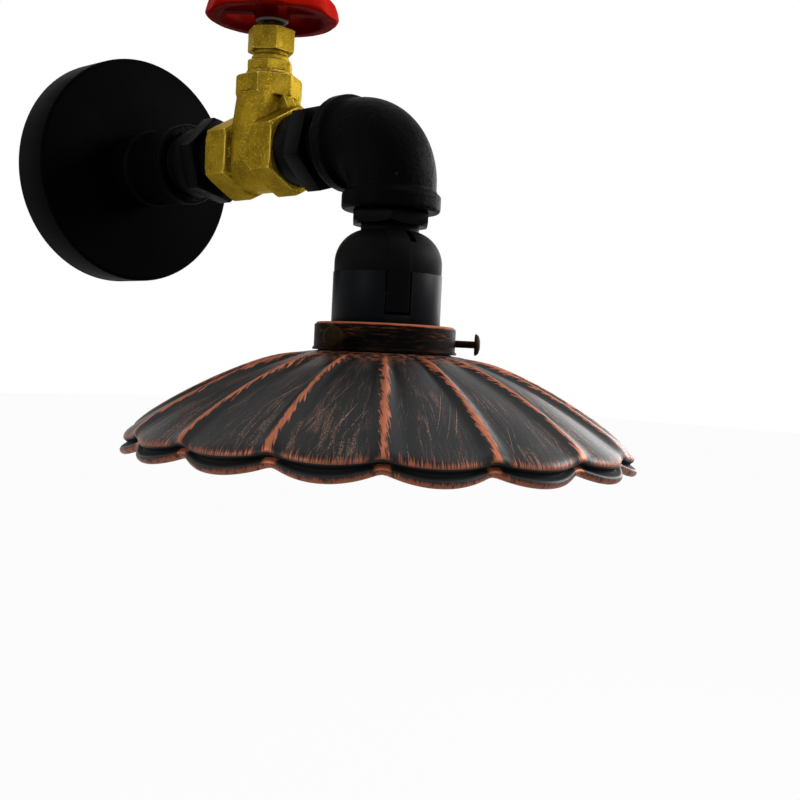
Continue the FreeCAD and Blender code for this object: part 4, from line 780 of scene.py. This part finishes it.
scratches = scratches.at_least(shade_bronze.rise(long_scratch, 0.66, 0.69) * broken * on_panel)
fleck = shade_bronze.rise(strokes(turn * 230.0, radius * 1500.0, 9.0), 0.48, 0.56)
lines = strokes(turn * 75.0, radius * 55.0, 13.0) + (groups - 0.5) * 0.16
lower_half = shade_bronze.rise(radius, *lower_panel)
flecks = fleck * shade_bronze.rise(lines, 0.48, 0.62) * on_panel * (0.25 + 0.50 * lower_half)

# A comb of copper along each flute's lower edge, ticks on the bead and a knob under each rib
comb = strokes(turn * 150.0, radius * 120.0, 7.0)
comb_top = 1 - shade_bronze.rise(above_edge + (comb - 0.5) * 0.014, *comb_band)
edge_wear = shade_bronze.rise(strokes(turn * 11.0, 0.0, 15.0), 0.36, 0.46)
comb_part = shade_bronze.rise(from_rib, *comb_from_rib) * (0.25 + 0.75 * edge_wear)
lower_edge = on_skin * comb_top * comb_part
ticks = shade_bronze.rise(strokes(turn * 45.0, height * 260.0, 3.0, 4.0), 0.34, 0.50)
under_bead = 1 - shade_bronze.rise(above_hem + (comb - 0.5) * 0.0030, *bead_band)
bead_copper = under_bead * (0.10 + 0.60 * ticks)
knob = 1 - shade_bronze.rise(from_rib + (feather - 0.5) * 0.003, *knob_band)
knob = knob * (1 - shade_bronze.rise(above_hem, *knob_top)) * 0.85

on_top = rib_copper.at_least(lower_edge * 0.9).at_least(near_crown * blotch * 0.40) * outer
fine_wear = (scratches * 0.9).at_least(flecks * 0.8) * on_skin * outer
copper_share = on_top.at_least(bead_copper).at_least(knob * outer)
haze = strokes(turn * 45.0, radius * 45.0, 8.0, 4.0)
# The groove under the panels' lower edge is darkened to near black: painted shade.
groove_shade = shade_bronze.rise(above_hem, *groove_bottom) * (1 - shade_bronze.rise(above_edge, *groove_top))
# A band beside each rib is darkened too: partly unworn paint, partly painted shade.
flank_unworn_and_shade = (1 - shade_bronze.rise(from_rib + (haze - 0.5) * 0.003, *flank_band)) * 0.75
tone = shade_bronze.blend(haze, panel_dark, panel_light)
tone = shade_bronze.blend(groove_shade.at_least(flank_unworn_and_shade), tone, painted_shade_black)
tone = shade_bronze.blend(fine_wear, tone, rubbed_tan)
tone = shade_bronze.blend(copper_share, tone, copper)
paint(shade_bronze, tone)
shade_bronze.feed(shade_bronze.shader.inputs["Metallic"], 0.10 + 0.20 * copper_share)
dull(shade_bronze, (0.36 + 0.16 * haze).at_least(groove_shade * 0.8))
place_piece(shade, "shade", shade_bronze, shade_angle)

# Wires
# Copper wire in coloured sleeves. Brown and blue run through the arm, from the block to the lampholder.
# The two short green ones earth the stud and the strap.
brown_sleeve = ((0.10, 0.035, 0.012, 1), (0.13, 0.05, 0.02, 1))
blue_sleeve = ((0.01, 0.06, 0.30, 1), (0.02, 0.09, 0.38, 1))
green_sleeve = ((0.02, 0.22, 0.04, 1), (0.04, 0.28, 0.06, 1))
for node, name, (dark, light) in (("live_wire", "brown_sleeve", brown_sleeve),
                                  ("neutral_wire", "blue_sleeve", blue_sleeve),
                                  ("earth_wire", "green_sleeve", green_sleeve),
                                  ("bracket_earth_wire", "green_sleeve_short", green_sleeve)):
    sleeve = material(name, dark, 0.4)
    paint(sleeve, sleeve.blend(sleeve.noise(sleeve.place, 200.0), dark, light))
    cover([node], sleeve)
